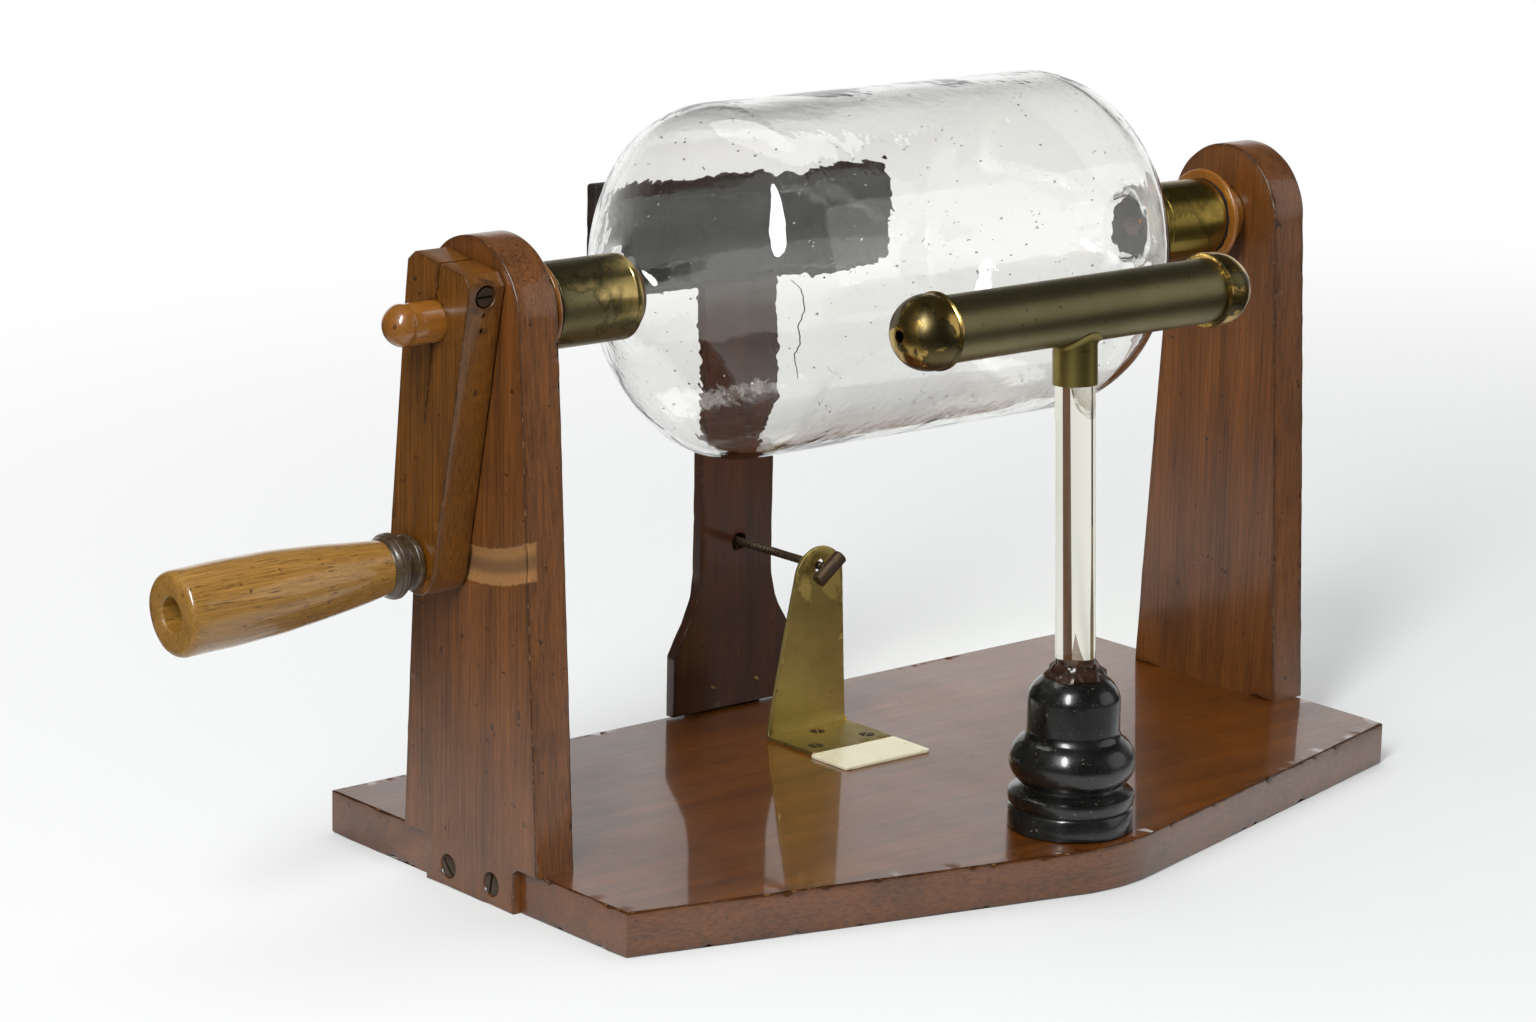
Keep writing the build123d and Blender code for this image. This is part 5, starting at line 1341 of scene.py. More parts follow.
class MACHINE_OT_axle(bpy.types.Operator):
    """Brass caps, turned plugs with their flanges and the peg that carries the crank"""

    bl_idname = "machine.axle"
    bl_label = "Caps and plugs"

    def execute(self, context):
        for name, way in (("crank_end_cap", -1), ("far_end_cap", 1)):
            low, high, _ = node_box(name)
            r = high.z - AXIS.z
            reach = high.x - low.x
            brass = FINISH["cap" if way < 0 else "far_cap"]
            # a scored line near the glass, then plain to the lip
            corners = mm([(2.4, 0), (2.7, -0.25), (3.0, 0)])
            profile = [(0, CAP_BORE), (0, r, 0.5 * MM)] + [(x, r + dip) for x, dip in corners]
            profile += [(reach - 2.2 * MM, r), (reach - 1.8 * MM, r)]
            profile = eased(profile + [(reach, r - 0.1 * MM, 0.35 * MM), (reach, CAP_BORE)])
            profile = [tuple(p) for p in profile + profile[:1]]
            start = Vector((low.x if way > 0 else high.x, AXIS.y, AXIS.z))
            mesh = turned(
                profile, along(start, X * way), brass, steps=120, wobble=0.12, wobble_size=14, seed=3.0 + way
            )
            placed(mesh, name + "_dressed", brass, "cylinder", "aged_brass", name)
        low, high, _ = node_box("crank_spindle")
        # the peg's domed end, and the marks that the arm's saw kerf and clamp have left on it
        sphere = (SHAFT**2 + PEG_DOME**2) / (2 * PEG_DOME)
        lead = math.acos((sphere - PEG_DOME) / sphere)
        peg = [
            (low.x + sphere * (1 - math.cos(lead * k / 10)), sphere * math.sin(lead * k / 10))
            for k in range(11)
        ]
        marks = mm([(1.6, 0), (2.4, -0.35), (3.4, -0.1), (8, -0.15), (12, 0)])
        peg += [(low.x + PEG_DOME + x, SHAFT + dip) for x, dip in marks]
        cap_face = node_box("crank_end_cap")[0].x
        profile = peg + plug_line(high.x, cap_face, CRANK_FLANGE, post_high.x, -1)[::-1]
        mesh = turned(
            running_true(profile), along(AXIS, X), FINISH["plug"], steps=96, wobble=0.06, wobble_size=9,
            seed=5.0,
        )
        placed(mesh, "crank_spindle_turned", FINISH["plug"], "cylinder", "plug_wood", "crank_spindle")
        low, high, _ = node_box("far_journal")
        cap_face = node_box("far_end_cap")[1].x
        profile = plug_line(low.x, cap_face, FAR_FLANGE, far_low.x, 1)
        profile += [(high.x - 0.6 * MM, SHAFT), (high.x, SHAFT - 0.6 * MM), (high.x, 0)]
        mesh = turned(
            running_true(profile), along(AXIS, X), FINISH["plug"], steps=96, wobble=0.06, wobble_size=9,
            seed=7.0,
        )
        placed(mesh, "far_journal_turned", FINISH["plug"], "cylinder", "plug_wood", "far_journal")
        # black cement that holds the plugs shows inside the necks, with a stub of wax in its middle
        lump = [(-1.0, 11.95), (-0.6, 12.0), (0.5, 11.6), (0.9, 9.5), (0.8, 6.0), (0.5, 4.2), (0.45, 0.01)]
        lump += [(-0.05, 0.01), (-0.05, 11.0)]
        lump = [(x * MM, r * MM, 1.0 if 3 < r < 10 and x > 0.1 else 0.0) for x, r in lump]
        knob = mm([(0.3, 0.0), (0.3, 4.0), (1.1, 3.7), (1.3, 2.0), (1.35, 0.0)])
        for name, end, way in (("crank_cement", -PLUG_END, 1), ("far_cement", PLUG_END, -1)):
            inward = along(Vector((end, AXIS.y, AXIS.z)), X * way)
            mesh = turned(
                lump + lump[:1], inward, FINISH["cement"], steps=72, wobble=0.8, wobble_size=3.5, seed=2.0
            )
            placed(mesh, name, FINISH["cement"], "cylinder", "wax")
            mesh = turned(knob, inward, FINISH["wax"], steps=40, wobble=0.5, wobble_size=2.5, seed=3.0)
            placed(mesh, name + "_stub", FINISH["wax"], "cylinder", "wax")
        # and it is squeezed out between the caps and the flanges; there its black is partly wax and partly
        # painted shade of the narrow gap
        for name, start, stop in (("crank_gap_cement", -178.7, -175.7), ("far_gap_cement", 174.1, 175.3)):
            run = stop - start
            fill = [(0, 15.65), (0, 16.3), (run * 0.5, 16.1), (run, 16.4), (run, 15.65), (0, 15.65)]
            fill = [(x * MM, r * MM, 1.0 if r > 16 else 0.0) for x, r in fill]
            at = along(Vector((start * MM, AXIS.y, AXIS.z)), X)
            mesh = turned(fill, at, FINISH["cement"], steps=96, wobble=0.5, wobble_size=3.0, seed=4.0)
            placed(mesh, name, FINISH["cement"], "cylinder", "wax")
        return {"FINISHED"}


SWING = math.radians(8.6)  # of the arm from upright, and below it how far the handle leans
ARM_UP = Vector((0, -math.sin(SWING), math.cos(SWING)))
ARM_ACROSS = Vector((0, math.cos(SWING), math.sin(SWING)))
LEAN = math.radians(2.4)
THROW = 93.9 * MM
ARM_OUT = node_box("crank_arm")[0].x
HANDLE_ROOT = Vector((ARM_OUT, AXIS.y, AXIS.z)) - ARM_UP * THROW
HANDLE_DIR = -X * math.cos(LEAN) - ARM_UP * math.sin(LEAN)


class MACHINE_OT_crank(bpy.types.Operator):
    """Crank arm sawn down its top, its clamp screw and the turned handle"""

    bl_idname = "machine.crank"
    bl_label = "Crank and handle"

    def execute(self, context):
        s = context.scene.machine_sizes
        low, high, _ = node_box("crank_arm")
        thick = high.x - low.x
        top, bottom = 22 * MM, 105.5 * MM  # the arm's ends, up and down from the axle
        wide, narrow = 19.3 * MM, 13.4 * MM  # half its width at each
        saw, bore, reach = 0.6 * MM, 7.95 * MM, 39 * MM  # half the kerf, the hole, the kerf's end below the axle
        lift = math.sqrt(bore**2 - saw**2)
        start = math.asin(saw / bore)
        ring = [start + (math.pi - 2 * start) * k / 12 for k in range(13)]
        # the kerf's path runs down one side, round the hole and on to its end, and the other side mirrors it
        down = [(saw, top), (saw, lift)] + [(bore * math.sin(a), bore * math.cos(a)) for a in ring[1:-1]]
        down += [(saw, -lift), (saw * 0.5, -reach)]
        kerf = [Vector(p) for p in down] + [Vector((-x, y)) for x, y in down[::-1]]
        outer = eased(
            [
                (-wide + 4 * MM, top), (-wide, top - 4 * MM), (-narrow, -bottom, 10 * MM),
                (narrow, -bottom, 10 * MM), (wide, top - 4 * MM), (wide - 4 * MM, top),
            ],
            steps=6,
        )
        mesh = board([outer + kerf], thick, s.board_edge * 0.5, step=1.6 * MM, seed=23, chips=12)
        origin = Vector((low.x, AXIS.y, AXIS.z))
        fitted(mesh, lambda p: origin + ARM_ACROSS * p.x + ARM_UP * p.y + X * p.z, sway=0.05)
        # the clamp screw lies in a recess on the front side, with two old pin holes below it; the wear is raised
        # round each, which darkens them
        taper = (wide - narrow) / (top + bottom)
        # each as millimetres above the axle, radius and depth
        for up, radius, deep in ((14.2, 4.6, 2.4), (7.0, 0.8, 1.0), (1.2, 0.9, 1.2)):
            side = wide - (top - up * MM) * taper
            seat = origin + ARM_UP * up * MM + X * thick / 2 - ARM_ACROSS * side
            hollow = [(-1, 0), (-1, radius * 1.15), (0, radius), (deep, radius * 0.8), (deep, 0)]
            tool = turned(
                [(x * MM, r * MM) for x, r in hollow], along(seat, ARM_ACROSS), FINISH["arm"], steps=28
            )
            mesh = cut_by(mesh, tool)
            wear = mesh.attributes["wear"]
            for v in mesh.vertices:
                near = (v.co - seat).length / (radius * 1.5 * MM)
                if near < 1:
                    wear.data[v.index].value = max(wear.data[v.index].value, 0.75)
        placed(mesh, "crank_arm_dressed", FINISH["arm"], "cylinder", "mahogany", "crank_arm")
        handle = along(HANDLE_ROOT, HANDLE_DIR)
        pin = 4.05 * MM
        ridges = []  # the collar's neck swells between two radii, with fine turned rings on it
        for k in range(25):
            t = k / 24
            x = 5.2 + (13.6 - 5.2) * t
            r = 8.8 + (10.0 - 8.8) * t + 3.1 * math.sin(math.pi * t) + 0.14 * math.sin(t * 44)
            ridges.append((x * MM, r * MM))
        bead = eased(mm([(0.5, 9), (0.5, 10.6, 0.7), (3.0, 10.6, 0.9), (3.8, 8.8)]), False)
        collar = [(0.5 * MM, pin)] + [tuple(p) for p in bead] + ridges + [(13.6 * MM, pin), (0.5 * MM, pin)]
        mesh = turned(collar, handle, FINISH["collar"], steps=72, wobble=0.2, wobble_size=5, seed=9.0)
        placed(mesh, "handle_collar_turned", FINISH["collar"], "cylinder", "dark_wood", "handle_collar")
        body = flowing(mm([(14, 10.4), (39.4, 13.6), (64.7, 15.5), (102, 15.9)]), (1, 0.13), (1, 0), 9)
        root = (14 * MM, pin + 0.03 * MM)
        grip = [root] + [(p.x, p.y) for p in body]
        # the rounded end, with a counterbore round the pin
        grip += mm(
            [(103.2, 15.5), (104.2, 14.6), (104.5, 13.4), (104.6, 10), (104.4, 7.2), (103.6, 6.5), (90.6, 6.3)]
        )
        grip += [(90.6 * MM, root[1]), root]
        mesh = turned(grip, handle, FINISH["grip"], steps=96, wobble=0.16, wobble_size=16, seed=4.0)
        placed(mesh, "handle_grip_turned", FINISH["grip"], "grip", "handle_wood", "handle_grip")
        dressed(FINISH["iron"], "handle_pin", "clamp_screw")
        return {"FINISHED"}


POINT_COUNT, POINT_PITCH = 9, 14 * MM


class MACHINE_OT_conductor(bpy.types.Operator):
    """Brass conductor with its balls and collecting points, on its glass rod"""

    bl_idname = "machine.conductor"
    bl_label = "Conductor"

    def execute(self, context):
        low, _, mid = node_box("conductor_tube")
        dressed(FINISH["tube"], "conductor_tube")
        dressed(FINISH["socket"], "conductor_socket")
        r = mid.z - low.z
        big, lining, mouth = 14.4 * MM, 13.4 * MM, 12.9 * MM  # radii of a ball, its inside and its opening
        beading = mm([(-0.6, 0), (-3.2, -0.35), (-3.5, -0.1), (-3.9, 0.45), (-4.6, 0.4), (-5, -0.3)])
        for name, way in (("conductor_ball_left", -1), ("conductor_ball_right", 1)):
            a, b, _ = node_box(name)
            centre = Vector((a.x + big if way < 0 else b.x - big, mid.y, mid.z))
            end_hole = 2.35 * MM if way < 0 else 0.0
            first = math.asin(end_hole / big)
            cup = [(big * math.cos(t), big * math.sin(t)) for t in np.linspace(first, math.pi / 2, 28)]
            back = np.linspace(math.asin(mouth / lining), first, 20)
            inner = [(lining * math.cos(t), lining * math.sin(t)) for t in back]
            bead = eased([(x, big + rise) for x, rise in beading] + [(-5 * MM, 12.75 * MM)], False)
            profile = cup + [tuple(p) for p in bead] + [(3.0 * MM, 12.75 * MM)] + inner
            if end_hole:
                profile.append(profile[0])
            mesh = turned(
                profile, along(centre, X * way), FINISH["ball"], steps=96, wobble=0.1, wobble_size=8,
                seed=6.0 + way,
            )
            placed(mesh, name + "_turned", FINISH["ball"], "stand", "aged_brass", name)
        pins = shaped_by(
            bpy.data.node_groups["Pointed pins"],
            bpy.data.meshes.new("none"),
            Count=POINT_COUNT,
            Pitch=POINT_PITCH,
            Shank_length=9.5 * MM,
            Point_length=3.5 * MM,
            Wire_radius=0.9 * MM,
            Material=FINISH["tube"],
        )
        pins.transform(Matrix.Translation((ROD_X, mid.y + r - 1 * MM, mid.z)))
        placed(pins, "collector_points_row", FINISH["tube"], "stand", "aged_brass", "collector_points")
        dressed(FINISH["rod"], "glass_pillar")
        # solder drawn into the corner where the socket meets the tube
        middle = Vector((ROD_X, mid.y, mid.z))
        shape = bmesh.new()
        reach = 1.9 * MM
        bends = [math.pi / 2 * k / 4 for k in range(5)]
        rings = [(8.6 * MM + reach * (1 - math.cos(t)), reach * (1 - math.sin(t))) for t in bends]
        rings.append((8.0 * MM, -0.8 * MM))
        rows = []
        for out, drop in rings:
            row = []
            for i in range(64):
                a = math.tau * i / 64
                dx, dy = out * math.cos(a), out * math.sin(a)
                z = -math.sqrt(max(1e-9, r * r - dy * dy)) - drop
                row.append(shape.verts.new(middle + X * dx + Y * dy * math.cos(ROD_LEAN) + ROD_UP * z))
            rows.append(row)
        for k in range(len(rows)):
            a, b = rows[k], rows[(k + 1) % len(rows)]
            for i in range(64):
                j = (i + 1) % 64
                shape.faces.new((a[i], a[j], b[j], b[i]))
        mesh = bpy.data.meshes.new("solder")
        shape.to_mesh(mesh)
        shape.free()
        placed(mesh, "conductor_solder", FINISH["socket"], "stand", "aged_brass")
        return {"FINISHED"}


class MACHINE_OT_pillar(bpy.types.Operator):
    """Ebonised turned foot of the conductor with its wax"""

    bl_idname = "machine.pillar"
    bl_label = "Pillar foot"

    def execute(self, context):
        low, _, mid = node_box("pillar_base")
        bulge = [(17.9, 19.4), (26.6, 24.5), (36.0, 19.4)]
        arc = flowing(bulge, (0.55, 1), (0.55, -1), 10)
        shoulder = flowing([(36.6, 18.9), (39.6, 17.9)], (1, -0.7), (1, 0), 5)
        crown = flowing([(51.5, 17.9), (55.5, 16.6), (58.6, 13.9), (60.6, 10.6)], (1, 0), (0.5, -1), 5)
        # a disc with a quirk over it, a bead and its hollow, the bulge, and the cup that holds the rod
        profile = [
            (0, 0), (0, 23.6), (0.5, 24.3), (8.2, 24.3), (8.8, 23.9), (9.4, 23.1), (9.9, 23.1), (10.5, 24.2)
        ]
        profile += [(12.6, 24.6), (14.6, 24.2), (15.5, 23.0), (16.4, 20.6), (17.0, 19.6)]
        profile += [tuple(p) for p in arc + shoulder + crown] + [
            (61.0, 9.4), (60.6, 8.3), (57.0, 8.2), (57.0, 0)
        ]
        mesh = turned(
            mm(profile),
            along(Vector((mid.x, mid.y, low.z)), Z),
            FINISH["ebony"],
            steps=112,
            wobble=0.22,
            wobble_size=12,
            seed=8.0,
        )
        for v in mesh.vertices:
            v.co.z = max(v.co.z, BASE_TOP)
        placed(mesh, "pillar_base_turned", FINISH["ebony"], "stand", "ebonised_wood", "pillar_base")
        root = Vector((ROD_X, ROD_Y, 80 * MM))
        lump = [(-4.4, 7.9), (-4.2, 10.5), (-2.6, 12.2), (-1.2, 11.8), (-0.2, 10.6), (0.8, 9.6), (1.8, 9.2)]
        lump += [(2.6, 8.7), (3.1, 8.1), (2.8, 7.85), (-4.4, 7.9)]
        lump = [(x * MM, r * MM, 1.0 if r > 8 else 0.0) for x, r in lump]
        mesh = turned(
            lump, along(root, ROD_UP), FINISH["wax"], steps=120, wobble=1.1, wobble_size=4.5, seed=3.0
        )
        placed(mesh, "wax_seal_lumpy", FINISH["wax"], "stand", "wax", "wax_seal")
        dressed(FINISH["iron"], "pillar_screw")
        return {"FINISHED"}


PAD_NET = 3.0 * MM  # spacing of the leather's threads
PAD_FRAMES = 16
PAD_SWELL = 3.2 * MM  # the seams hold the leather no further out than this


def stuffed(name, low, high):
    """Leather pad blown up by cloth simulation from a box between two corners."""
    mesh = block(low, high)
    shape = bmesh.new()
    shape.from_mesh(mesh)
    bmesh.ops.bevel(shape, geom=list(shape.edges), offset=2.2 * MM, segments=2, affect="EDGES")
    shape.to_mesh(mesh)
    shape.free()
    pad = bpy.data.objects.new(name + "_work", mesh)
    bpy.context.scene.collection.objects.link(pad)
    net = pad.modifiers.new("net", "REMESH")
    net.mode = "VOXEL"
    net.voxel_size = PAD_NET
    pad.data = evaluated(pad)
    pad.modifiers.remove(net)
    rest = [v.co.copy() for v in pad.data.vertices]
    cloth = pad.modifiers.new("cloth", "CLOTH")
    cloth.settings.use_pressure = True
    cloth.settings.uniform_pressure_force = 4.0
    cloth.settings.effector_weights.gravity = 0
    cloth.settings.tension_stiffness = 12
    cloth.settings.quality = 6
    scene = bpy.context.scene
    for f in range(1, PAD_FRAMES + 1):
        scene.frame_set(f)
    blown = evaluated(pad)
    scene.frame_set(1)
    pad.modifiers.remove(cloth)
    for v, was in zip(blown.vertices, rest):
        move = v.co - was
        if move.length > PAD_SWELL:
            move = move.normalized() * PAD_SWELL
        v.co = was + move
    bpy.data.objects.remove(pad)
    smooth = bpy.data.objects.new(name + "_smooth", blown)
    bpy.context.scene.collection.objects.link(smooth)
    fine = smooth.modifiers.new("fine", "SUBSURF")
    fine.levels = fine.render_levels = 1
    result = evaluated(smooth)
    bpy.data.objects.remove(smooth)
    return result


class MACHINE_OT_rubber(bpy.types.Operator):
    """Rubber: its board, backing, leather cushion and hinge"""

    bl_idname = "machine.rubber"
    bl_label = "Rubber"

    def execute(self, context):
        low, high, mid = node_box("rubber_support")
        thick = high.y - low.y
        half, foot = 19.5 * MM, (high.x - low.x) / 2  # half the width above and below the ogee
        cx = mid.x
        flare = [(foot, 44.5 * MM), (foot - 3.4 * MM, 51 * MM), (half + 3.4 * MM, 62 * MM), (half, 76 * MM)]
        right = [Vector((foot, low.z))] + flowing(flare, (-0.6, 1), (0, 1), 7) + [Vector((half, high.z))]
        left = [Vector((-p.x, p.y)) for p in right[::-1]]
        outline = left[-1:] + right + left[:-1]
        passage = hole(-cx, ADJUSTER_Z, 3.6 * MM, 24)  # for the adjusting screw
        mesh = board([outline, passage], thick, 0.6 * MM, step=1.7 * MM, seed=31, chips=10)
        fitted(mesh, lambda p: Vector((cx + p.x, low.y + p.z, p.y)), sway=0.03)
        placed(mesh, "rubber_support_dressed", FINISH["rubber"], "rubber", "mahogany", "rubber_support")
        low, high, mid = node_box("rubber_back")
        w, h = (high.x - low.x) / 2, (high.z - low.z) / 2
        outline = eased([(-w, -h, 1.5 * MM), (w, -h, 1.5 * MM), (w, h, 1.5 * MM), (-w, h, 1.5 * MM)])
        mesh = board([outline], high.y - low.y, 0.8 * MM, step=2.2 * MM, seed=37, chips=8)
        fitted(mesh, lambda p: Vector((mid.x + p.x, low.y + p.z, mid.z + p.y)), sway=0.03)
        placed(mesh, "rubber_back_dressed", FINISH["backboard"], "rubber", "pad_board", "rubber_back")
        low, high, mid = node_box("rubber_cushion")
        inset = 2.4 * MM
        front, back = low.y + PAD_SWELL, high.y - 0.6 * MM
        corners = (low.x + inset, front, low.z + inset), (high.x - inset, back, high.z - inset)
        mesh = stuffed("rubber_cushion", *corners)
        clear = (glass_high.z - AXIS.z) + 0.35 * MM
        for v in mesh.vertices:
            crease = noise.noise(Vector((v.co.x * 90, 0, v.co.z * 140))) * 0.45 * MM
            v.co.y += crease * (1 if v.co.y < high.y - 2 * MM else 0)
            v.co.x = min(max(v.co.x, low.x), high.x)
            v.co.z = min(max(v.co.z, low.z), high.z)
            v.co.y = min(v.co.y, high.y)
            flat = Vector((v.co.y - AXIS.y, v.co.z - AXIS.z))
            if flat.length < clear:
                v.co.y = AXIS.y + math.sqrt(max(clear**2 - flat.y**2, 0))
            v.co.y = min(v.co.y, high.y)
        pad = placed(
            mesh, "rubber_cushion_stuffed", FINISH["leather"], "rubber", "cushion_leather", "rubber_cushion"
        )
        dressed(FINISH["bracket"], "hinge_base_leaf", "hinge_board_leaf", "adjusting_nut")
        dressed(FINISH["iron"], "hinge_pin", "nut_pins")
        return {"FINISHED"}


class MACHINE_OT_bracket(bpy.types.Operator):
    """Folded sheet brass bracket and the adjusting screw through it"""

    bl_idname = "machine.bracket"
    bl_label = "Bracket and adjusting screw"

    def execute(self, context):
        s = context.scene.machine_sizes
        _, high, _ = node_box("adjusting_bracket")
        sheet = 1.6 * MM
        fold_y, front_y = 42.6 * MM, 13.2 * MM
        lean = math.radians(5.0)
        bend = 1.2 * MM  # inner radius of the fold
        foot = fold_y - front_y - bend
        wide, top_r = 21.2 * MM, 12.6 * MM
        # flat pattern: v runs back along the foot, round the fold and up the back
        turn = math.pi / 2 + lean
        arc = (bend + sheet / 2) * turn
        rise = (high.z - BASE_TOP - bend - sheet) / math.cos(lean)
        head = foot + arc + rise - top_r
        clip = 1 * MM
        outline = [
            (-wide + clip, 0), (wide - clip, 0), (wide, clip), (wide, foot), (wide - 0.4 * MM, foot + arc)
        ]
        outline += [
            (top_r * math.cos(a), head + top_r * math.sin(a)) for a in np.linspace(0.06, math.pi - 0.06, 21)
        ]
        outline += [(-wide + 0.4 * MM, foot + arc), (-wide, foot), (-wide, clip)]
        drop = (high.z - ADJUSTER_Z) / math.cos(lean)
        eye = hole(0, foot + arc + rise - drop, 2.7 * MM, 24)
        mesh = board([[Vector(p) for p in outline], eye], sheet, 0.3 * MM, step=1.5 * MM, seed=41, chips=5)
        centre = Vector((fold_y - bend, BASE_TOP + sheet + bend))

        def folded(p):
            v, w = p.y, p.z  # w 0 is the face that lies on the base
            if v < foot:
                return Vector((p.x, front_y + v, BASE_TOP + w))
            a = min((v - foot) / arc, 1) * turn
            r = bend + sheet - w
            y = centre.x + r * math.sin(a)
            z = centre.y - r * math.cos(a)
            extra = max(0, v - foot - arc)
            return Vector((p.x, y + math.cos(turn) * extra, z + math.sin(turn) * extra))

        fitted(mesh, folded, sway=0.12, span=30)
        for v in mesh.vertices:
            v.co.z = max(v.co.z, BASE_TOP)
        placed(mesh, "adjusting_bracket_folded", FINISH["bracket"], "stand", "aged_brass", "adjusting_bracket")
        low, high, mid = node_box("adjusting_screw")
        rod = shaped_by(
            bpy.data.node_groups["Screwed rod"],
            bpy.data.meshes.new("none"),
            Rod_length=high.y - low.y - 1 * MM,
            Rod_radius=1.8 * MM,
            Pitch=s.thread_pitch,
            Material=FINISH["iron"],
        )
        rod.transform(along(Vector((mid.x, low.y + 0.5 * MM, mid.z)), Y) @ Matrix.Rotation(math.pi / 2, 4, "Y"))
        placed(rod, "adjusting_screw_threaded", FINISH["iron"], "adjuster", "iron", "adjusting_screw")
        dressed(FINISH["iron"], "adjusting_cross_bar")
        return {"FINISHED"}


class MACHINE_OT_screws(bpy.types.Operator):
    """Slotted screws of the post lugs, bracket and hinge"""

    bl_idname = "machine.screws"
    bl_label = "Screws"

    def execute(self, context):
        s = context.scene.machine_sizes
        head = s.screw_head
        shares = ((0.35, 0), (0.3, 0.55), (0, 0.93), (-0.25, 1), (-2.8, 0.46), (-9, 0.44), (-15, 0.1), (-15, 0))
        profile = [(x * MM, head * share) for x, share in shares]
        blank = turned(
            profile, along(Vector((0, 0, 0)), Z), FINISH["iron"], steps=32, wobble=0.08, wobble_size=2.5,
            seed=1.0,
        )
        wide = 0.55 * MM
        blank = cut_by(blank, block((-wide, -head * 1.2, -1.2 * MM), (wide, head * 1.2, 2 * MM)))
        pattern = bpy.data.objects.new("screw_pattern", blank)
        bpy.context.scene.collection.objects.link(pattern)
        face = far_high.x - 0.3 * MM  # the lug screws' heads lie a little under the posts' faces
        lugs = [((side * face, y, z), (side, 0, 0)) for side in (-1, 1) for y, z in LUG_SCREWS]
        feet = [((x, y, BASE_TOP + 1.6 * MM), (0, 0, 1)) for x, y in mm([(-13.9, 20.9), (13.9, 20.9), (0, 36)])]
        sets = [
            ("lug_screws", "stand", "iron", 1.0, 7, lugs, ("crank_post_screws", "far_post_screws"), "iron"),
            ("bracket_foot_screws", "stand", "iron", 0.8, 3, feet, ("bracket_screws",), "iron"),
        ]
        for name, node, body in (
            ("hinge_fixed_screws", "hinge_base_screws", "stand"),
            ("hinge_moving_screws", "hinge_board_screws", "rubber"),
        ):
            low, high, mid = node_box(node)
            inset = 2.6 * MM
            pair = [((x, high.y, mid.z), (0, 1, 0)) for x in (low.x + inset, high.x - inset)]
            sets.append((name, body, "aged_brass", 0.56, 5, pair, (node,), "bracket"))
        for name, body, slot, scale, seed, seats, nodes, finish in sets:
            points = bpy.data.meshes.new("seats")
            points.from_pydata([at for at, _ in seats], [], [])
            facing = points.attributes.new("facing", "FLOAT_VECTOR", "POINT")
            for i, (_, way) in enumerate(seats):
                facing.data[i].vector = way
            mesh = shaped_by(
                bpy.data.node_groups["Screws"], points, Screw=pattern, Size=scale, Seed=seed,
                Material=FINISH[finish],
            )
            placed(mesh, name, FINISH[finish], body, slot, *nodes)
        bpy.data.objects.remove(pattern)
        return {"FINISHED"}


class MACHINE_OT_plate(bpy.types.Operator):
    """Bare ivory coloured plate with two pin holes, laid on the base in front of the bracket"""

    bl_idname = "machine.plate"
    bl_label = "Plate"

    def execute(self, context):
        s = context.scene.machine_sizes
        w, h = s.plate_length / 2, s.plate_width / 2
        outline = eased([(-w, -h, 1.6 * MM), (w, -h, 1.6 * MM), (w, h, 1.6 * MM), (-w, h, 1.6 * MM)])
        holes = [hole(x, y, 0.8 * MM, 12) for x, y in ((-w + 4.5 * MM, -1 * MM), (w - 3.5 * MM, 0.5 * MM))]
        mesh = board([outline] + holes, s.plate_thick, 0.35 * MM, step=1.2 * MM, seed=43, chips=3)
        turn = math.radians(-1.0)
        middle = Vector((-1.2 * MM, 1.6 * MM))

        def laid(p):
            x = p.x * math.cos(turn) - p.y * math.sin(turn)
            y = p.x * math.sin(turn) + p.y * math.cos(turn)
            return Vector((middle.x + x, middle.y + y, BASE_TOP + p.z))

        fitted(mesh, laid, sway=0.05)
        placed(mesh, "ivory_plate", FINISH["plate"], "stand", "mahogany")
        return {"FINISHED"}


# The stage is a pale sheet in a dark room. Polish sees the sheet in one wide direction only.
SHEET_WAY, WEDGE = (0.65, 0.76, 0), (0.66, 0.9)
SHADE_AT, SHADE_REACH = (0.38, -0.12, 0), (0.1, 1.3)  # the sheet is least bright to the right of the machine
SHEET_EDGE = (0.22, 0.5)  # past this the floor is dark to the polish
ROOM_HEIGHT = (0.22, 0.46)  # where white gives way to the dark room above, as the height of a direction
LAMPS = (
    # name, place, width, height, watts
    ("key", (-1.5, -0.9, 1.5), 0.45, 1.6, 42),
    ("top", (0.3, 0.5, 1.9), 2.2, 1.4, 17),
    ("fill", (1.9, -1.6, 0.9), 2.2, 2.2, 9),
)
LAMPS_LOOK_AT = Vector((0, 0, 0.12))
LENS, SENSOR = 101.4, 36
CAMERA_AT = Vector((-1.13221, -1.25230, 0.52758))
CAMERA_TURN = (40.5706, 13.6110, 1.12628)  # degrees: to the right of Y, down, and rolled


def white_side(tree, way):
    """Share of white for a direction: polish and metal see a white sheet behind the machine with a dark room
    beside it, and what is seen through glass is white all round."""
    level = add(tree, "ShaderNodeVectorMath", {0: way, 1: (1, 1, 0)}, operation="MULTIPLY").outputs[0]
    level = add(tree, "ShaderNodeVectorMath", {0: level}, operation="NORMALIZE").outputs[0]
    toward = add(
        tree, "ShaderNodeVectorMath", {0: level, 1: SHEET_WAY}, operation="DOT_PRODUCT"
    ).outputs["Value"]
    span = {"Value": toward, "From Min": WEDGE[0], "From Max": WEDGE[1]}
    wedge = add(tree, "ShaderNodeMapRange", span, interpolation_type="SMOOTHSTEP").outputs[0]
    through = add(tree, "ShaderNodeLightPath").outputs["Is Transmission Ray"]
    return add(tree, "ShaderNodeMath", {0: wedge, 1: through}, operation="MAXIMUM").outputs[0]


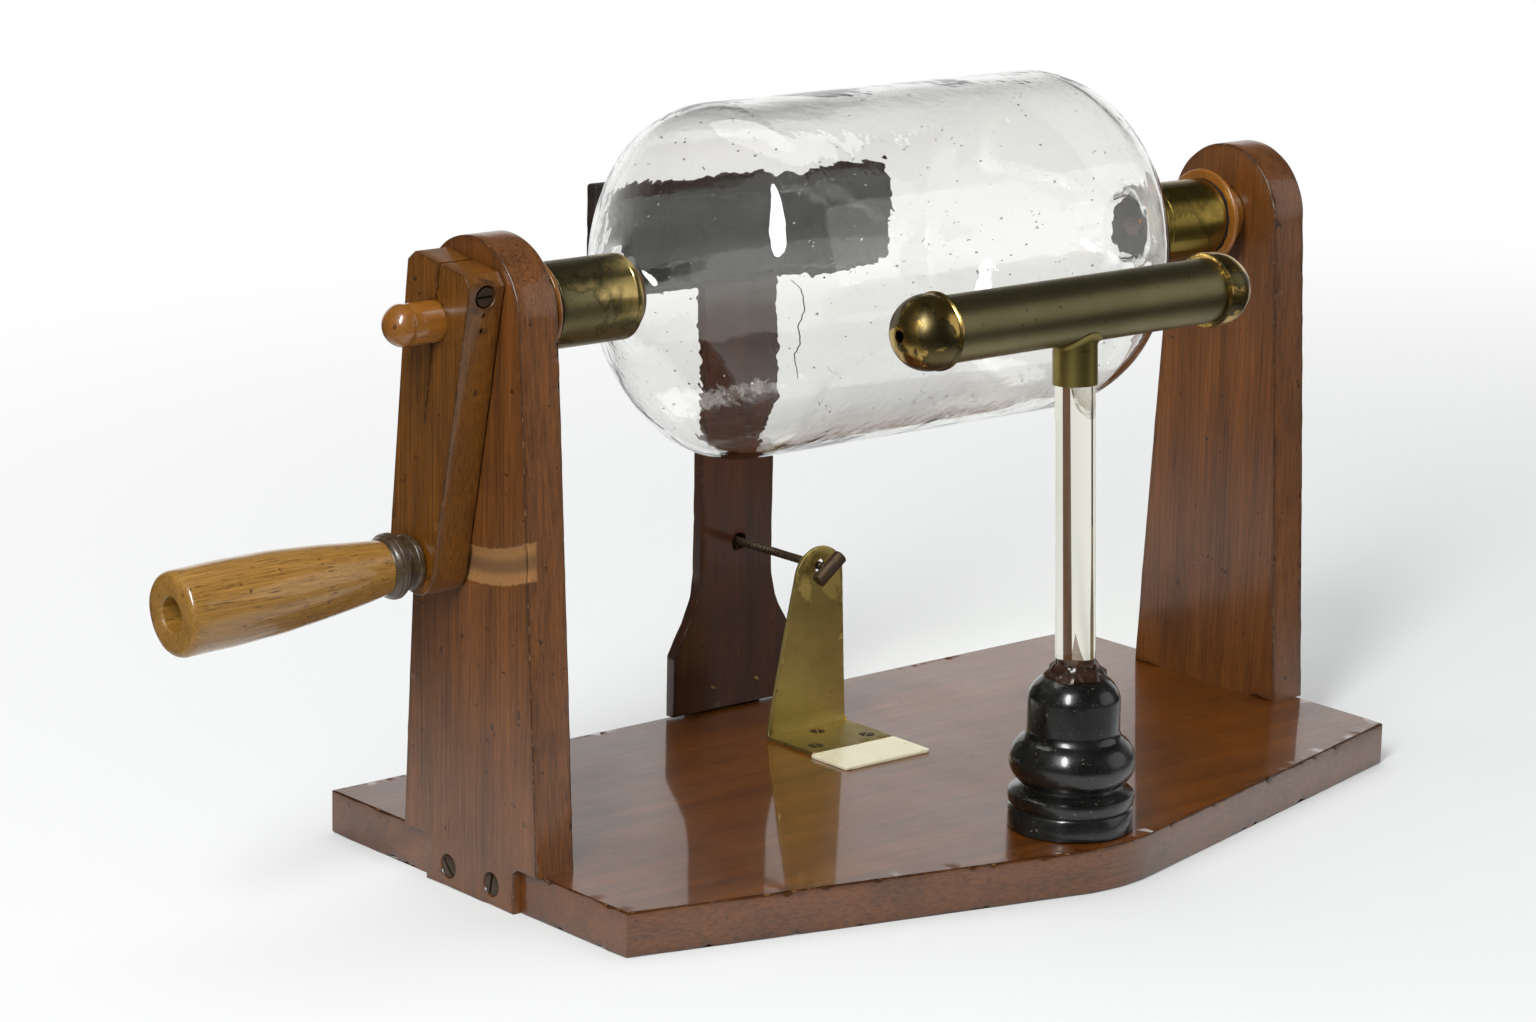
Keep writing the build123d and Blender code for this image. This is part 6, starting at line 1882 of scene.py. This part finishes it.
def floor_finish(shade):
    """Pale paper that runs out to white all round, and past the sheet is dark to the polish and the glass."""
    material = bpy.data.materials.new("Pale paper floor")
    material.use_nodes = True
    tree = material.node_tree
    tree.nodes.clear()
    paper = add(tree, "ShaderNodeBsdfDiffuse", {"Color": shade})
    white = add(tree, "ShaderNodeEmission", {"Color": (1, 1, 1, 1), "Strength": 1.0})
    dark = add(tree, "ShaderNodeBsdfDiffuse", {"Color": (0.02, 0.02, 0.02, 1)})
    where = add(tree, "ShaderNodeTexCoord").outputs["Object"]
    away = add(tree, "ShaderNodeVectorMath", {0: where, 1: SHADE_AT}, operation="SUBTRACT").outputs[0]
    away = add(tree, "ShaderNodeVectorMath", {0: away}, operation="LENGTH").outputs["Value"]
    span = {"Value": away, "From Min": SHADE_REACH[0], "From Max": SHADE_REACH[1]}
    fade = add(tree, "ShaderNodeMapRange", span, interpolation_type="SMOOTHSTEP").outputs[0]
    rays = add(tree, "ShaderNodeLightPath").outputs
    glossy = {0: rays["Is Glossy Ray"], 1: rays["Is Transmission Ray"]}
    glossy = add(tree, "ShaderNodeMath", glossy, operation="MAXIMUM").outputs[0]
    behind = white_side(tree, where)
    mirror = add(tree, "ShaderNodeMath", {0: glossy, 1: behind}, operation="MULTIPLY").outputs[0]
    seen = add(tree, "ShaderNodeMath", {0: rays["Is Camera Ray"], 1: mirror}, operation="MAXIMUM").outputs[0]
    share = add(tree, "ShaderNodeMath", {0: fade, 1: seen}, operation="MULTIPLY").outputs[0]
    mixed = add(tree, "ShaderNodeMixShader", {0: share, 1: paper.outputs[0], 2: white.outputs[0]})
    far = add(tree, "ShaderNodeVectorMath", {0: where}, operation="LENGTH").outputs["Value"]
    span = {"Value": far, "From Min": SHEET_EDGE[0], "From Max": SHEET_EDGE[1]}
    off_sheet = add(tree, "ShaderNodeMapRange", span).outputs[0]
    aside = add(tree, "ShaderNodeMath", {0: 1.0, 1: behind}, operation="SUBTRACT").outputs[0]
    for share in (off_sheet, glossy):
        aside = add(tree, "ShaderNodeMath", {0: aside, 1: share}, operation="MULTIPLY").outputs[0]
    mixed = add(tree, "ShaderNodeMixShader", {0: aside, 1: mixed.outputs[0], 2: dark.outputs[0]})
    add(tree, "ShaderNodeOutputMaterial", {"Surface": mixed.outputs[0]})
    return material


def surroundings():
    """White low down and a darker room above, as polish and glass see them. The camera sees plain white."""
    world = bpy.data.worlds.new("Studio")
    world.use_nodes = True
    tree = world.node_tree
    tree.nodes.clear()
    way = add(tree, "ShaderNodeTexCoord").outputs["Generated"]
    height = add(tree, "ShaderNodeSeparateXYZ", {0: way}).outputs[2]
    span = {
        "Value": height, "From Min": ROOM_HEIGHT[0], "From Max": ROOM_HEIGHT[1], "To Min": 1.0, "To Max": 0.0
    }
    low = add(tree, "ShaderNodeMapRange", span).outputs[0]
    lit = add(tree, "ShaderNodeMath", {0: low, 1: white_side(tree, way)}, operation="MULTIPLY").outputs[0]
    rays = add(tree, "ShaderNodeLightPath").outputs
    glossy = {0: rays["Is Glossy Ray"], 1: rays["Is Transmission Ray"]}
    glossy = add(tree, "ShaderNodeMath", glossy, operation="MAXIMUM").outputs[0]
    room, dim, white = ((v, v, v, 1) for v in (0.03, 0.4, 1))
    room = add(
        tree, "ShaderNodeMix", {"Factor": lit, "A": room, "B": white}, data_type="RGBA"
    ).outputs["Result"]
    rest = add(
        tree, "ShaderNodeMix", {"Factor": glossy, "A": dim, "B": room}, data_type="RGBA"
    ).outputs["Result"]
    seen = {"Factor": rays["Is Camera Ray"], "A": rest, "B": white}
    seen = add(tree, "ShaderNodeMix", seen, data_type="RGBA").outputs["Result"]
    background = add(tree, "ShaderNodeBackground", {"Color": seen, "Strength": 1.0})
    add(tree, "ShaderNodeOutputWorld", {"Surface": background.outputs[0]})
    return world


class MACHINE_OT_stage(bpy.types.Operator):
    """Pale floor, soft lights, white surroundings and the camera"""

    bl_idname = "machine.stage"
    bl_label = "Stage"

    def execute(self, context):
        scene = context.scene
        sheet = bpy.data.meshes.new("floor")
        shape = bmesh.new()
        bmesh.ops.create_grid(shape, x_segments=8, y_segments=8, size=9.0)
        shape.to_mesh(sheet)
        shape.free()
        floor = bpy.data.objects.new("floor", sheet)
        scene.collection.objects.link(floor)
        sheet.materials.append(floor_finish(tuple(scene.machine_colours.floor)))
        scene.world = surroundings()
        for name, at, wide, tall, power in LAMPS:
            light = bpy.data.lights.new(name, "AREA")
            light.shape = "ELLIPSE"
            light.size, light.size_y, light.energy = wide, tall, power
            lamp = bpy.data.objects.new(name, light)
            lamp.location = at
            lamp.rotation_euler = (LAMPS_LOOK_AT - Vector(at)).to_track_quat("-Z", "Y").to_euler()
            # the lamp overhead lights the wood but leaves no square patch in the glass
            lamp.visible_glossy = name != "top"
            scene.collection.objects.link(lamp)
        camera = bpy.data.cameras.new("camera")
        camera.lens, camera.sensor_width, camera.clip_end = LENS, SENSOR, 60
        eye = bpy.data.objects.new("camera", camera)
        yaw, pitch, roll = (math.radians(a) for a in CAMERA_TURN)
        ahead = Vector((math.sin(yaw) * math.cos(pitch), math.cos(yaw) * math.cos(pitch), -math.sin(pitch)))
        right = Vector((math.cos(yaw), -math.sin(yaw), 0))
        up = right.cross(ahead)
        level = right * math.cos(roll) + up * math.sin(roll)
        upright = -right * math.sin(roll) + up * math.cos(roll)
        pose = Matrix((level, upright, -ahead)).transposed().to_4x4()
        pose.translation = CAMERA_AT
        eye.matrix_world = pose
        scene.collection.objects.link(eye)
        scene.camera = eye
        scene.view_settings.view_transform = "Standard"
        return {"FINISHED"}


class MACHINE_PT_panel(bpy.types.Panel):
    """Lists the settings and the steps that make the machine"""

    bl_idname = "MACHINE_PT_panel"
    bl_label = "Electrical machine"
    bl_space_type = "VIEW_3D"
    bl_region_type = "UI"
    bl_category = "Machine"

    def draw(self, context):
        layout = self.layout
        for group in (context.scene.machine_sizes, context.scene.machine_colours):
            box = layout.box()
            for key in group.bl_rna.properties.keys():
                if key not in ("rna_type", "name"):
                    box.prop(group, key)
        for step in STEPS:
            layout.operator(step.bl_idname)


STEPS = (
    MACHINE_OT_finishes, MACHINE_OT_base_board, MACHINE_OT_posts, MACHINE_OT_glass_cylinder, MACHINE_OT_axle,
    MACHINE_OT_crank, MACHINE_OT_conductor, MACHINE_OT_pillar, MACHINE_OT_rubber, MACHINE_OT_bracket,
    MACHINE_OT_screws, MACHINE_OT_plate, MACHINE_OT_stage,
)
CLASSES = (MachineSizes, MachineColours) + STEPS + (MACHINE_PT_panel,)


def register():
    for kind in CLASSES:
        bpy.utils.register_class(kind)
    bpy.types.Scene.machine_sizes = bpy.props.PointerProperty(type=MachineSizes)
    bpy.types.Scene.machine_colours = bpy.props.PointerProperty(type=MachineColours)


def unregister():
    del bpy.types.Scene.machine_colours
    del bpy.types.Scene.machine_sizes
    for kind in reversed(CLASSES):
        bpy.utils.unregister_class(kind)


def main():
    register()
    for step in STEPS:
        group, name = step.bl_idname.split(".")
        getattr(getattr(bpy.ops, group), name)()


if __name__ == "__main__":
    main()
